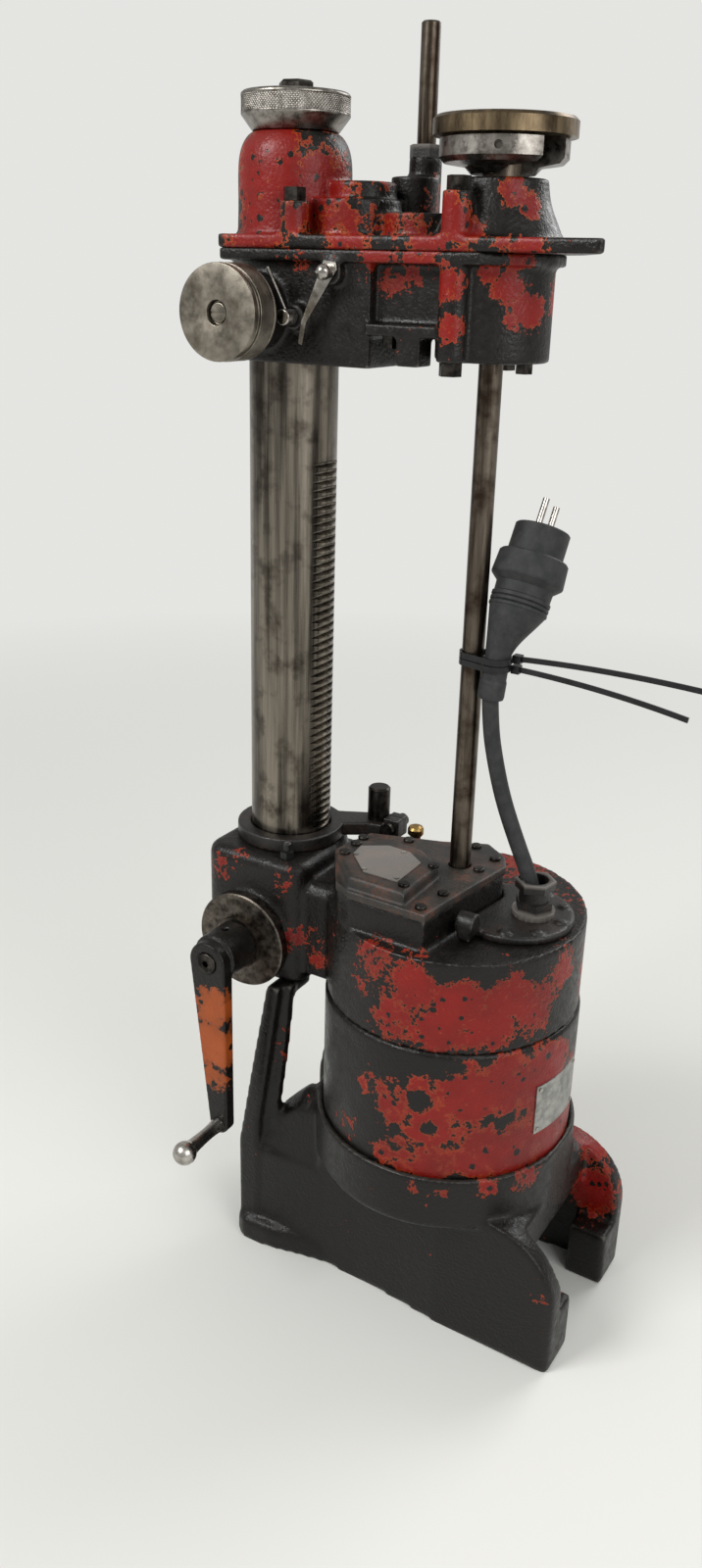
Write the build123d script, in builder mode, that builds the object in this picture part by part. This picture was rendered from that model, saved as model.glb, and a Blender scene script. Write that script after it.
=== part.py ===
"""Portable cylinder boring bar: a motor foot, a hand-cranked bar with a rack, and a geared head.

Millimetres, +Z up. The origin is on the foot's underside, below the motor's axis. X runs from the
bar to the motor, and the crank is at the front, towards -Y.
"""
from build123d import *
from math import acos, atan2, cos, degrees, hypot, pi, radians, sin, sqrt, tan
import os

os.makedirs("parts", exist_ok=True)

# ---- driving dimensions ----
BAR_CENTRES = 154.0          # bar axis to motor axis
BAR_X = -BAR_CENTRES
BAR_R = 63.5 / 2             # 2 1/2 in boring bar
BAR_BORE = 20.0
BAR_FOOT_Z = 262.0           # lower end of the bar with the head up
BAR_TOP_Z = 764.0
SHAFT_R = 15.875 / 2         # 5/8 in drive shaft
SHAFT_TOP_Z = 855.0
STOP_R = 12.7 / 2            # 1/2 in depth stop rod
STOP_AT = (BAR_X + 74.5, 45.7)
RUN = 0.05                   # radial clearance of a running fit
GAP = 0.4                    # clearance between other moving pairs

# foot
WALL_TOP = 92.0              # side walls beside the legs
CUP_FLOOR = 107.0
CUP_BASE = 119.0
CUP_TOP = 157.0
CUP_R = 105.0
LEG_TOP = 255.0
FOOT_BOLT_R = 66.0           # circle of the four motor bolts
FORK_END = 136.0

# motor
SHELL_R = 100.0
DRUM_R = 98.5
SEAM_Z = 264.0
DRUM_TOP = 338.0
BLOCK_TOP = 362.0            # gearbox block under its cover
COVER_STEP = 369.0
COVER_TOP = 379.0

# bar guide
GUIDE_R = 46.0
GUIDE_BASE = LEG_TOP
GUIDE_TOP = 357.0
RING_TOP = 368.0
RING_R = 43.0
BUSH_R = 36.5
CRANK_Z = 288.0
GUIDE_FRONT = -58.0

# rack and hand gears
RACK_PITCH = 6.0
RACK_TEETH = 65
RACK_ANGLE = 25.0
PINION_TEETH = 12
PINION_R = PINION_TEETH * RACK_PITCH / (2 * pi)
PINION_X = BAR_X + 41.25
RACK_LINE_X = PINION_X - PINION_R
HAND_MODULE = 1.5
CRANK_TEETH = 22
PINION_GEAR_TEETH = 33
HAND_GEAR_Y = -38.5          # back face of the hand gears
HAND_GEAR_W = 6.5

# feed gears
FEED_MODULE = 1.5
COUPLING_TEETH = 20
FEED_TEETH = 40
FEED_AT = (-36.0, -27.0)
FEED_GEAR_Z = 347.0
FEED_GEAR_W = 8.0

# head
FLANGE_Z = 795.5             # joint between head case and head cover
FLANGE_TOP = 804.0
CASE_RIM_Z = 788.0
CASE_BASE = 724.0            # underside of the bar clamp
BLOCK_BASE = 731.0           # underside of the drive block
CAVITY_Z = 764.0
HEAD_HALF = 50.0             # flange edge from the centre line
HEAD_WALL = 33.0             # gear trough's wall from the centre line
CLAMP_HALF = 42.0
TROUGH_X = BAR_X + 86
HEAD_MODULE = 2.0
GEAR_Z = 770.0
GEAR_W = 14.0
SPINDLE_TEETH, IDLER_A_TEETH, IDLER_B_TEETH, SLEEVE_TEETH = 30, 22, 26, 28
IDLER_A_X = BAR_X + HEAD_MODULE * (SPINDLE_TEETH + IDLER_A_TEETH) / 2
IDLER_B_X = IDLER_A_X + HEAD_MODULE * (IDLER_A_TEETH + IDLER_B_TEETH) / 2
SLEEVE_R = 12.5
SLEEVE_TOP = 850.0
RIM_BASE = 861.0
BELL_TOP = 838.0
BOTTLE_TOP = 867.0
DIAL_Z = 756.0
PAWL_AT = (BAR_X + 32, DIAL_Z - 2)
SPRING_SCREW_AT = (BAR_X + 60, 782.0)

# lead
CORD_R = 6.0
GLAND_AT = (61.0, 3.0)
GLAND_TOP = 372.0
GLAND_FLOOR = 349.0          # bottom of the gland's wide mouth
PLUG_START = Vector(18.4, -6.0, 506.3)
BOOT_LEAN = Vector(0.072, 0.091, 0.993).normalized()
BOOT_LENGTH = 31.0
GRIP_START = Vector(27.8, 8.0, 567.1)
GRIP_LEAN = Vector(0.06, 0.44, 0.896).normalized()
GRIP_LENGTH = 59.5
PIN_LINE = (0.05, 0.9, -0.43)
TIE_BORE = 9.4               # inside of the ties round the plug's boot
CORD_ROUTE = [(*GLAND_AT, 344), (*GLAND_AT, 361), (42.5, 1.8, 401), (31.5, -0.6, 430),
              (24.3, -2.7, 458), (19.6, -4.8, 484), tuple(PLUG_START)]


# ---- small building steps, used inside a part ----
BASE_ALIGNED = (Align.CENTER, Align.CENTER, Align.MIN)


def post(x, y, z, height, radius, mode=Mode.ADD):
    """Upright round boss or hole that starts at z."""
    with Locations((x, y, z)):
        Cylinder(radius, height, align=BASE_ALIGNED, mode=mode)


def rod_y(x, z, y, length, radius, mode=Mode.ADD):
    """Round boss or hole that runs to the back from y."""
    with Locations(Location((x, y, z), (-90, 0, 0))):
        Cylinder(radius, length, align=BASE_ALIGNED, mode=mode)


def rod_x(y, z, x, length, radius, mode=Mode.ADD):
    """Round boss or hole that runs to the right from x."""
    with Locations(Location((x, y, z), (0, 90, 0))):
        Cylinder(radius, length, align=BASE_ALIGNED, mode=mode)


def block(xs, ys, zs, mode=Mode.ADD):
    """Square-edged block between pairs of x, y and z."""
    low = (min(xs), min(ys), min(zs))
    size = [max(pair) - min(pair) for pair in (xs, ys, zs)]
    with Locations(low):
        Box(*size, align=(Align.MIN, Align.MIN, Align.MIN), mode=mode)


def hexagon(x, y, z, height, across_flats, turn=0.0, mode=Mode.ADD):
    """Upright hexagon, as on a nut or a bolt head."""
    with BuildSketch(Plane.XY.offset(z)) as nut:
        with Locations((x, y)):
            RegularPolygon(across_flats / sqrt(3), 6, rotation=turn)
    extrude(nut.sketch, amount=height, mode=mode)


def finish(part, name):
    """Name a finished piece and write it."""
    part.part.label = name
    export_step(part.part, f"parts/{name}.step")


def involute(angle):
    """Involute of an angle in radians."""
    return tan(angle) - angle


def gear_points(teeth, module, phase, pressure=20.0, backlash=0.15):
    """Outline of a spur gear with a tooth centred at phase degrees."""
    pitch_r = teeth * module / 2
    base_r = pitch_r * cos(radians(pressure))
    root_r = pitch_r - 1.25 * module
    tip_r = pitch_r + module
    half_pitch = pi / (2 * teeth) - backlash / (2 * pitch_r)
    start_r = max(base_r, root_r + 0.05)
    flank = []
    for step in range(3):
        r = start_r + (tip_r - start_r) * step / 2
        flank.append((r, half_pitch + involute(radians(pressure)) - involute(acos(min(1.0, base_r / r)))))
    flank.insert(0, (root_r, flank[0][1]))
    points = []
    for tooth in range(teeth):
        centre = radians(phase + 360.0 * tooth / teeth)
        side = [(r, centre - a) for r, a in flank] + [(r, centre + a) for r, a in reversed(flank)]
        points += [(r * cos(a), r * sin(a)) for r, a in side]
    return points


def meshing_phase(teeth, phase, direction, next_teeth):
    """Phase of the next gear, in mesh with this one, which lies towards direction degrees."""
    passed = ((direction - phase) * teeth / 360.0) % 1.0
    return direction + 180.0 - (0.5 - passed) * 360.0 / next_teeth


def upright_gear(x, y, z, width, teeth, module, phase):
    """Spur gear on an upright axis, added to the part in progress."""
    with BuildSketch(Plane.XY.offset(z)) as outline:
        with BuildLine():
            Polyline(*[(x + px, y + py) for px, py in gear_points(teeth, module, phase)], close=True)
        make_face()
    extrude(outline.sketch, amount=width)


def level_gear(x, z, y_back, width, teeth, module, phase, pressure=20.0):
    """Spur gear on an axis that runs front to back; its back face is at y_back."""
    points = gear_points(teeth, module, phase, pressure)
    with BuildSketch(Plane.XZ.offset(-y_back)) as outline:
        with BuildLine():
            Polyline(*[(x + px, z + pz) for px, pz in points], close=True)
        make_face()
    extrude(outline.sketch, amount=width)


# The section plane through the bar's axis, and outlines that more than one piece uses.
BAR_SECTION = Plane(origin=(BAR_X, 0, 0), x_dir=(1, 0, 0), z_dir=(0, -1, 0))
BAR_AXIS = Axis((BAR_X, 0, 0), (0, 0, 1))
BLOCK_OUTLINE = [(-91, -30), (-60, -78), (-46, -85), (16, -87), (19, -60), (24, -24), (30, 15),
                 (22, 30), (2, 44), (-30, 28), (-84, 10)]
RAISED_OUTLINE = [(-76, -55), (-48, -83), (-2, -84), (-3, -29), (-26, -12), (-53, -10), (-80, -29)]
FLANGE_OUTLINE = [(BAR_X - 44, -26), (BAR_X - 28, -HEAD_HALF), (90, -HEAD_HALF), (84, -36),
                  (50, 26), (30, HEAD_HALF), (BAR_X - 28, HEAD_HALF), (BAR_X - 44, 26)]
PLUNGER_AT = (-60, 40, 0)
FRONT_BOLT_X = BAR_X + 27
COVER_BOLTS = [(FRONT_BOLT_X, -41), (FRONT_BOLT_X, 41), (-9, -41), (-9, 41)]
BOLT_BOSS_TOPS = {FRONT_BOLT_X: 824.0, -9: 829.5}
OIL_CUP_AT = (BAR_X + 26, -44)
STOP_POST_AT = (BAR_X + 58, 42)
EAR_BOLT_X = BAR_X + 74
FOOT_BOLTS = [(FOOT_BOLT_R * cos(radians(turn)), FOOT_BOLT_R * sin(radians(turn)))
              for turn in (45, 135, 225, 315)]

# ======== foot and motor ========
with BuildPart() as foot_casting:
    # plan of the walls, with the toes spread at the left
    with BuildSketch(Plane.XY):
        with BuildLine():
            Polyline((-157, 0), (-157, -74), (-148, -80), (-122, -79), (-98, -73), (-72, -68),
                     (-72, 0), close=True)
        make_face()
        mirror(about=Plane.XZ)
    extrude(amount=22)
    fillet(foot_casting.faces().sort_by(Axis.Z)[-1].edges().filter_by_position(
        Axis.Y, -81, -67.5), radius=7)
    with BuildSketch(Plane.XY) as walls:
        with BuildLine():
            Polyline((-157, 0), (-157, -66), (-150, -71), (-72, -68), (-40, -68.5), (0, -71),
                     (35, -75), (90, -76), (128, -77), (FORK_END, -74), (FORK_END, 0), close=True)
        make_face()
        mirror(about=Plane.XZ)
    with BuildSketch(Plane.XZ) as side_view:
        with BuildLine():
            Polyline((FORK_END, 0), (-154, 0), (-157.5, 60), (-157.5, WALL_TOP), (-79, WALL_TOP),
                     (-79, CUP_BASE), (76, CUP_BASE))
            ThreePointArc((76, CUP_BASE), (118, 103), (FORK_END, 66))
            Line((FORK_END, 66), (FORK_END, 0))
        make_face()
    wall_block = extrude(walls.sketch, amount=CUP_BASE, mode=Mode.PRIVATE)
    side_block = extrude(side_view.sketch, amount=90, both=True, mode=Mode.PRIVATE)
    add(wall_block & side_block)
    # legs: a rib at the front and back edge, on a wider web
    for side in (-1, 1):
        with BuildSketch(Plane.XZ.offset(-side * 54)) as web:
            with BuildLine():
                Polyline((-157, 20), (-157.5, 94), (-142.5, 181), (-129, LEG_TOP),
                         (-111, LEG_TOP), (-117, 192), (-124, 137), (-124, 20), close=True)
            make_face()
        extrude(amount=-side * 9)
        with BuildSketch(Plane.XZ.offset(-side * 54)) as rib:
            with BuildLine():
                Polyline((-157, 10), (-157.5, 94), (-142.5, 181), (-129, LEG_TOP),
                         (-117, LEG_TOP), (-126, 192), (-137, 120), (-139, 10), close=True)
            make_face()
        extrude(amount=-side * 18)
        # shoulder between the leg and the cup
        with BuildSketch(Plane.XZ.offset(-side * 68)) as low:
            with BuildLine():
                Polyline((-150, 70), (-148, 88), (-128, 91), (-104, 91), (-70, 91), (-70, 70),
                         close=True)
            make_face()
        with BuildSketch(Plane.XZ.offset(-side * 60)) as middle:
            with BuildLine():
                Polyline((-150, 70), (-146, 104), (-128, 122), (-106, 138), (-70, 146), (-70, 70),
                         close=True)
            make_face()
        with BuildSketch(Plane.XZ.offset(-side * 46)) as high:
            with BuildLine():
                Polyline((-150, 70), (-146, 106), (-128, 130), (-106, 152), (-70, 162), (-70, 70),
                         close=True)
            make_face()
        loft([low.sketch, middle.sketch, high.sketch], ruled=True)
    post(0, 0, CUP_BASE - 6, CUP_TOP - CUP_BASE + 6, CUP_R)
    with Locations((0, 0, CUP_BASE - 18)):
        Cone(84, CUP_R, 12, align=BASE_ALIGNED)
    # blocks for the hold-down clamps, inside the fork
    post(0, 0, CUP_BASE, 60, SHELL_R, mode=Mode.SUBTRACT)
    block((-94, 80), (-56, 56), (-1, CUP_FLOOR), mode=Mode.SUBTRACT)
    block((80, FORK_END + 1), (-58, 58), (-1, 80), mode=Mode.SUBTRACT)
    block((CUP_R - 2, FORK_END + 1), (-60, 60), (79, 170), mode=Mode.SUBTRACT)
    for side in (-1, 1):
        block((104, FORK_END), (side * 36, side * 62), (0, 49))
    block((-9, 9), (-60, 60), (0, CUP_FLOOR + 2))
    # open way for the bar
    post(BAR_X, 0, -1, LEG_TOP + 2, 53.5, mode=Mode.SUBTRACT)
    block((BAR_X - 20, BAR_X), (-53.5, 53.5), (-1, LEG_TOP + 1), mode=Mode.SUBTRACT)
    # lugs on top of the legs, under the guide
    for side in (-1, 1):
        block((-129, -113), (side * 30, side * 60), (LEG_TOP - 12, LEG_TOP))
    # bearing seat and shell screws in the cup floor
    post(0, 0, CUP_FLOOR + 3, 20, 20, mode=Mode.SUBTRACT)
    for x, y in FOOT_BOLTS:
        post(x, y, CUP_FLOOR - 1, 20, 3.3, mode=Mode.SUBTRACT)
finish(foot_casting, "foot_casting")

with BuildPart() as foot_bolts:
    for x, y in FOOT_BOLTS:
        hexagon(x, y, CUP_FLOOR - 6, 6, 11)
        post(x, y, CUP_FLOOR, 18, 3.0)
finish(foot_bolts, "foot_bolts")

with BuildPart() as motor_shell:
    post(0, 0, CUP_BASE, SEAM_Z - CUP_BASE, SHELL_R)
    fillet(motor_shell.edges().sort_by(Axis.Z)[-1], radius=2)
    post(0, 0, CUP_BASE + 8, 200, SHELL_R - 6, mode=Mode.SUBTRACT)
    post(0, 0, CUP_BASE - 1, 20, 20, mode=Mode.SUBTRACT)
    for x, y in FOOT_BOLTS:
        post(x, y, CUP_BASE - 1, 10, 3.05, mode=Mode.SUBTRACT)
finish(motor_shell, "motor_shell")

RATING_FROM, RATING_TO = -22.5, 10.0     # degrees round the shell
RATING_LOW, RATING_HIGH = 184.0, 226.0
RATING_THICK = 1.0
with BuildPart() as rating_plate:
    # a thin curved plate on the shell, front right
    with BuildSketch(Plane.XY.offset(RATING_LOW)):
        with BuildLine():
            for r in (SHELL_R, SHELL_R + RATING_THICK):
                CenterArc((0, 0), r, RATING_FROM, RATING_TO - RATING_FROM)
            for turn in (RATING_FROM, RATING_TO):
                PolarLine((SHELL_R * cos(radians(turn)), SHELL_R * sin(radians(turn))),
                          RATING_THICK, turn)
        make_face()
    extrude(amount=RATING_HIGH - RATING_LOW)
finish(rating_plate, "rating_plate")

with BuildPart() as stator_core:
    post(0, 0, 165, 70, SHELL_R - 6)
    post(0, 0, 164, 72, 60, mode=Mode.SUBTRACT)
finish(stator_core, "stator_core")

with BuildPart() as stator_windings:
    for z in (151, 235):
        with BuildSketch(Plane.XZ) as section:
            with Locations((76, z + 7)):
                RectangleRounded(20, 14, 5)
        revolve(section.sketch, Axis.Z)
finish(stator_windings, "stator_windings")

with BuildPart() as motor_bearings:
    for z in (CUP_FLOOR + 3, 296):
        post(0, 0, z, 12, 20)
        post(0, 0, z - 1, 14, SHAFT_R + RUN, mode=Mode.SUBTRACT)
finish(motor_bearings, "motor_bearings")

# ======== frame: upper drum, bar guide and gear pocket ========
with BuildPart() as frame_casting:
    # guide with its square front
    guide_left = BAR_X - GUIDE_R
    guide_right = BAR_X + GUIDE_R + 1
    with BuildSketch(Plane.XY.offset(GUIDE_BASE)):
        with BuildLine():
            front = Polyline((guide_left, 0), (guide_left, GUIDE_FRONT), (guide_right, GUIDE_FRONT),
                             (guide_right, 0))
            fillet(front.vertices().group_by(Axis.Y)[0], radius=16)
            ThreePointArc((guide_left, 0), (BAR_X + 1, GUIDE_R + 1), (guide_right, 0))
        make_face()
    extrude(amount=GUIDE_TOP - GUIDE_BASE)
    fillet(frame_casting.faces().sort_by(Axis.Z)[-1].edges(), radius=9)
    # boss behind the crank
    rod_y(BAR_X, CRANK_Z + 2, GUIDE_FRONT - 3, 20, 37)
    # neck to the drum, and the drum
    with BuildSketch(Plane.YZ.offset(BAR_X)):
        with BuildLine():
            Polyline((-50, SEAM_Z), (50, SEAM_Z), (50, 334), (46, 340), (40, 343), (-40, 343),
                     (-46, 340), (-50, 334), close=True)
        make_face()
    extrude(amount=-BAR_X - 60)
    with BuildSketch(Plane.XY.offset(SEAM_Z)):
        Circle(DRUM_R)
    extrude(amount=DRUM_TOP - SEAM_Z)
    with BuildSketch(Plane.XY.offset(DRUM_TOP - 1)):
        Polygon(*BLOCK_OUTLINE, align=None)
    extrude(amount=BLOCK_TOP - DRUM_TOP + 1)
    post(*PLUNGER_AT[:2], DRUM_TOP - 1, 13, 9)
    # bores for the bar and its bushes
    post(BAR_X, 0, GUIDE_BASE - 1, 120, BUSH_R, mode=Mode.SUBTRACT)
    # hollow drum with a bearing wall
    post(0, 0, SEAM_Z - 1, 33, DRUM_R - 6, mode=Mode.SUBTRACT)
    post(0, 0, 290, 18, 20, mode=Mode.SUBTRACT)
    post(0, 0, 300, 100, SHAFT_R + GAP, mode=Mode.SUBTRACT)
    # feed gear chamber
    feed_tip = FEED_MODULE * (FEED_TEETH / 2 + 1) + 1.5
    post(FEED_AT[0], FEED_AT[1], FEED_GEAR_Z - 2, 40, feed_tip, mode=Mode.SUBTRACT)
    post(0, 0, FEED_GEAR_Z - 2, 40, FEED_MODULE * (COUPLING_TEETH / 2 + 1) + 1.5, mode=Mode.SUBTRACT)
    post(FEED_AT[0], FEED_AT[1], 312, 60, 6 + RUN, mode=Mode.SUBTRACT)
    # hand gear pocket, pinion way and crank bearing
    crank_tip = HAND_MODULE * (CRANK_TEETH / 2 + 1) + 1
    gear_tip = HAND_MODULE * (PINION_GEAR_TEETH / 2 + 1) + 0.8
    rod_y(BAR_X, CRANK_Z, HAND_GEAR_Y - HAND_GEAR_W - 1, HAND_GEAR_W + 2, crank_tip, mode=Mode.SUBTRACT)
    rod_y(PINION_X, CRANK_Z, HAND_GEAR_Y - HAND_GEAR_W - 1, HAND_GEAR_W + 2, gear_tip, mode=Mode.SUBTRACT)
    rod_y(PINION_X, CRANK_Z, -16, 32, PINION_R + 3.5, mode=Mode.SUBTRACT)
    rod_y(PINION_X, CRANK_Z, -40, 84, 6 + RUN, mode=Mode.SUBTRACT)
    rod_y(BAR_X, CRANK_Z, GUIDE_FRONT - 4, 17, 11, mode=Mode.SUBTRACT)
    # blind holes for the stop post, the brass plunger, the oil cup and the gland
    post(*PLUNGER_AT[:2], 317, 60, 5 + GAP, mode=Mode.SUBTRACT)
    post(*OIL_CUP_AT, GUIDE_TOP - 12, 30, 3, mode=Mode.SUBTRACT)
    post(GLAND_AT[0], GLAND_AT[1], DRUM_TOP - 30, 40, CORD_R + 1, mode=Mode.SUBTRACT)
finish(frame_casting, "frame_casting")

with BuildPart() as bronze_bushes:
    for low, high in ((GUIDE_BASE, 272), (306, GUIDE_TOP)):
        post(BAR_X, 0, low, high - low, BUSH_R)
    post(BAR_X, 0, GUIDE_BASE - 1, 120, BAR_R + RUN, mode=Mode.SUBTRACT)
    rod_y(BAR_X, CRANK_Z, GUIDE_FRONT - 3, 14, 11)
    rod_y(BAR_X, CRANK_Z, GUIDE_FRONT - 4, 16, 7 + RUN, mode=Mode.SUBTRACT)
finish(bronze_bushes, "bronze_bushes")

with BuildPart() as guide_ring:
    # split ring with a clamp ear at the back right
    with BuildSketch(Plane.XY.offset(GUIDE_TOP)):
        with Locations((BAR_X, 0)):
            Circle(RING_R)
        with BuildLine():
            Polyline((BAR_X + 34, 12), (BAR_X + 56, 27), (BAR_X + 81, 33), (BAR_X + 81, 50),
                     (BAR_X + 60, 56), (BAR_X + 22, 36), close=True)
        make_face()
    extrude(amount=RING_TOP - GUIDE_TOP)
    block((BAR_X + 67.5, BAR_X + 81), (33, 50), (GUIDE_TOP, RING_TOP + 5))
    for face in (26, 50):
        block((BAR_X + 67.5, BAR_X + 82), (face, face + 7), (GUIDE_TOP - 1, RING_TOP + 8),
              mode=Mode.SUBTRACT)
    block((BAR_X + 62, BAR_X + 82), (40.5, 42.5), (GUIDE_TOP - 1, RING_TOP + 8), mode=Mode.SUBTRACT)
    post(BAR_X, 0, GUIDE_TOP - 1, 20, BAR_R + GAP, mode=Mode.SUBTRACT)
    post(*STOP_POST_AT, GUIDE_TOP - 1, 30, 6, mode=Mode.SUBTRACT)
    rod_y(EAR_BOLT_X, RING_TOP - 2, 30, 30, 3.2, mode=Mode.SUBTRACT)
finish(guide_ring, "guide_ring")

with BuildPart() as ring_clamp_bolt:
    rod_y(EAR_BOLT_X, RING_TOP - 2, 28, 27, 3)
    rod_y(EAR_BOLT_X, RING_TOP - 2, 27.5, 5, 5.2)
    rod_y(EAR_BOLT_X, RING_TOP - 2, 50.2, 5, 5.2)
finish(ring_clamp_bolt, "ring_clamp_bolt")

with BuildPart() as stop_post:
    post(*STOP_POST_AT, GUIDE_TOP, 12, 6)
    post(*STOP_POST_AT, RING_TOP, 396 - RING_TOP, 9)
    chamfer(stop_post.edges().group_by(Axis.Z)[-1], length=1.5)
finish(stop_post, "stop_post")

with BuildPart() as oil_cup:
    post(*OIL_CUP_AT, GUIDE_TOP - 10, 12, 3)
    hexagon(*OIL_CUP_AT, GUIDE_TOP, 6, 10)
    post(*OIL_CUP_AT, GUIDE_TOP + 6, 7, 3.4)
    fillet(oil_cup.edges().group_by(Axis.Z)[-1], radius=1.5)
finish(oil_cup, "oil_cup")

with BuildPart() as gearbox_cover:
    with BuildSketch(Plane.XY.offset(BLOCK_TOP)):
        Polygon(*BLOCK_OUTLINE, align=None)
        offset(amount=1.5)
    extrude(amount=COVER_STEP - BLOCK_TOP)
    with BuildSketch(Plane.XY.offset(COVER_STEP)):
        Polygon(*RAISED_OUTLINE, align=None)
    extrude(amount=COVER_TOP - COVER_STEP)
    chamfer(gearbox_cover.faces().sort_by(Axis.Z)[-1].edges(), length=2)
    post(0, 0, BLOCK_TOP - 1, 20, SHAFT_R + GAP, mode=Mode.SUBTRACT)
    post(FEED_AT[0], FEED_AT[1], BLOCK_TOP - 1, 7, 6 + RUN, mode=Mode.SUBTRACT)
finish(gearbox_cover, "gearbox_cover")

COVER_SCREWS = [(10, -80), (13, -52), (17, -2), (19, 22), (-3, 34), (-52, 14), (-84, -2)]
RAISED_SCREWS = [(-71, -51), (-72, -33), (-8, -73), (-5, -34)]
with BuildPart() as cover_screws:
    for x, y in COVER_SCREWS:
        post(x, y, COVER_STEP, 2.5, 4.2)
    for x, y in RAISED_SCREWS:
        post(x, y, COVER_TOP, 2.5, 4.2)
    fillet(cover_screws.edges().filter_by(GeomType.CIRCLE).filter_by(
        lambda edge: edge.center().Z in (COVER_STEP + 2.5, COVER_TOP + 2.5)), radius=1.2)
finish(cover_screws, "cover_screws")

with BuildPart() as cover_plate:
    with BuildSketch(Plane.XY.offset(COVER_TOP)):
        Polygon(*RAISED_OUTLINE, align=None)
        offset(amount=-12, kind=Kind.INTERSECTION)
    extrude(amount=0.8)
finish(cover_plate, "cover_plate")

with BuildPart() as plate_rivets:
    for x, y in ((-62, -50), (-44, -68), (-17, -68), (-34, -27)):
        post(x, y, COVER_TOP + 0.8, 1.0, 1.8)
    for turn in (RATING_FROM + 2, RATING_TO - 2):
        for z in (RATING_LOW + 3.5, RATING_HIGH - 3.5):
            direction = (cos(radians(turn)), sin(radians(turn)), 0)
            start = Vector(*direction) * (SHELL_R + RATING_THICK) + Vector(0, 0, z)
            with BuildSketch(Plane(origin=start, z_dir=direction)):
                Circle(1.6)
            extrude(amount=0.9)
finish(plate_rivets, "plate_rivets")

with BuildPart() as terminal_cover:
    with BuildSketch(Plane.XY.offset(DRUM_TOP)):
        with Locations((47, 0)):
            Circle(45)
        with BuildSketch(mode=Mode.PRIVATE) as block_plan:
            Polygon(*BLOCK_OUTLINE, align=None)
            offset(amount=0.5)
        add(block_plan.sketch, mode=Mode.SUBTRACT)
    extrude(amount=6)
    fillet(terminal_cover.edges().filter_by(GeomType.CIRCLE).group_by(Axis.Z)[-1], radius=1.5)
    post(*GLAND_AT, DRUM_TOP - 1, 20, 11, mode=Mode.SUBTRACT)
    for turn in (-75, -40, 0, 40, 75):
        x, y = 47 + 38 * cos(radians(turn)), 38 * sin(radians(turn))
        post(x, y, DRUM_TOP + 6, 2.4, 4.0)
    rod_x(-50, DRUM_TOP + 13, 26, 14, 8)
    block((28, 38), (-58, -42), (DRUM_TOP + 2, DRUM_TOP + 10))
finish(terminal_cover, "terminal_cover")

with BuildPart() as cable_gland:
    post(*GLAND_AT, DRUM_TOP, 14, 11)
    post(*GLAND_AT, DRUM_TOP + 6, 4, 16)
    hexagon(*GLAND_AT, DRUM_TOP + 10, 8, 25)
    post(*GLAND_AT, DRUM_TOP + 18, 9, 11.5)
    hexagon(*GLAND_AT, DRUM_TOP + 27, GLAND_TOP - DRUM_TOP - 27, 26, turn=20)
    post(*GLAND_AT, DRUM_TOP - 1, 60, CORD_R + 0.05, mode=Mode.SUBTRACT)
    post(*GLAND_AT, GLAND_FLOOR, 60, 9.6, mode=Mode.SUBTRACT)
    # the collar is broken where the lead leans over it
    with Locations(Plane(origin=CORD_ROUTE[1], z_dir=Vector(*CORD_ROUTE[2]) - Vector(*CORD_ROUTE[1]))):
        Cylinder(CORD_R + 1.6, 40, align=BASE_ALIGNED, mode=Mode.SUBTRACT)
finish(cable_gland, "cable_gland")

# ======== drive shaft, rotor and feed ========
coupling_phase = 0.0
feed_direction = degrees(atan2(FEED_AT[1], FEED_AT[0]))
feed_phase = meshing_phase(COUPLING_TEETH, coupling_phase, feed_direction, FEED_TEETH)

with BuildPart() as drive_shaft:
    post(0, 0, CUP_FLOOR + 3, SHAFT_TOP_Z - CUP_FLOOR - 3, SHAFT_R)
    chamfer(drive_shaft.edges().group_by(Axis.Z)[-1], length=1)
finish(drive_shaft, "drive_shaft")

with BuildPart() as rotor:
    post(0, 0, 162, 76, 59)
    post(0, 0, 155, 90, 34)
    post(0, 0, 150, 100, SHAFT_R, mode=Mode.SUBTRACT)
finish(rotor, "rotor")

with BuildPart() as coupling_gear:
    upright_gear(0, 0, FEED_GEAR_Z, FEED_GEAR_W, COUPLING_TEETH, FEED_MODULE, coupling_phase)
    post(0, 0, FEED_GEAR_Z - 1, 20, SHAFT_R, mode=Mode.SUBTRACT)
finish(coupling_gear, "coupling_gear")

with BuildPart() as feed_shaft:
    upright_gear(*FEED_AT, FEED_GEAR_Z, FEED_GEAR_W, FEED_TEETH, FEED_MODULE, feed_phase)
    post(*FEED_AT, 314, BLOCK_TOP + 4 - 314, 6)
finish(feed_shaft, "feed_shaft")

with BuildPart() as plunger:
    with BuildSketch(Plane(origin=PLUNGER_AT, x_dir=(1, 0, 0), z_dir=(0, -1, 0))) as section:
        with BuildLine():
            Polyline((0, 325), (5, 325), (5, 350), (4.2, 351), (4.2, 361), (6.5, 364), (6.5, 368),
                     (5.4, 370), (3, 371), (0, 371), close=True)
        make_face()
    revolve(axis=Axis(PLUNGER_AT, (0, 0, 1)))
finish(plunger, "plunger")

# ======== crank and rack pinion ========
pinion_gear_phase = 0.0
crank_phase = meshing_phase(PINION_GEAR_TEETH, pinion_gear_phase, 180.0, CRANK_TEETH)

with BuildPart() as pinion_shaft:
    rod_y(PINION_X, CRANK_Z, HAND_GEAR_Y - HAND_GEAR_W, 40 - HAND_GEAR_Y + HAND_GEAR_W, 6)
    level_gear(PINION_X, CRANK_Z, 15, 30, PINION_TEETH, RACK_PITCH / pi, 180.0, RACK_ANGLE)
finish(pinion_shaft, "pinion_shaft")

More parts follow.
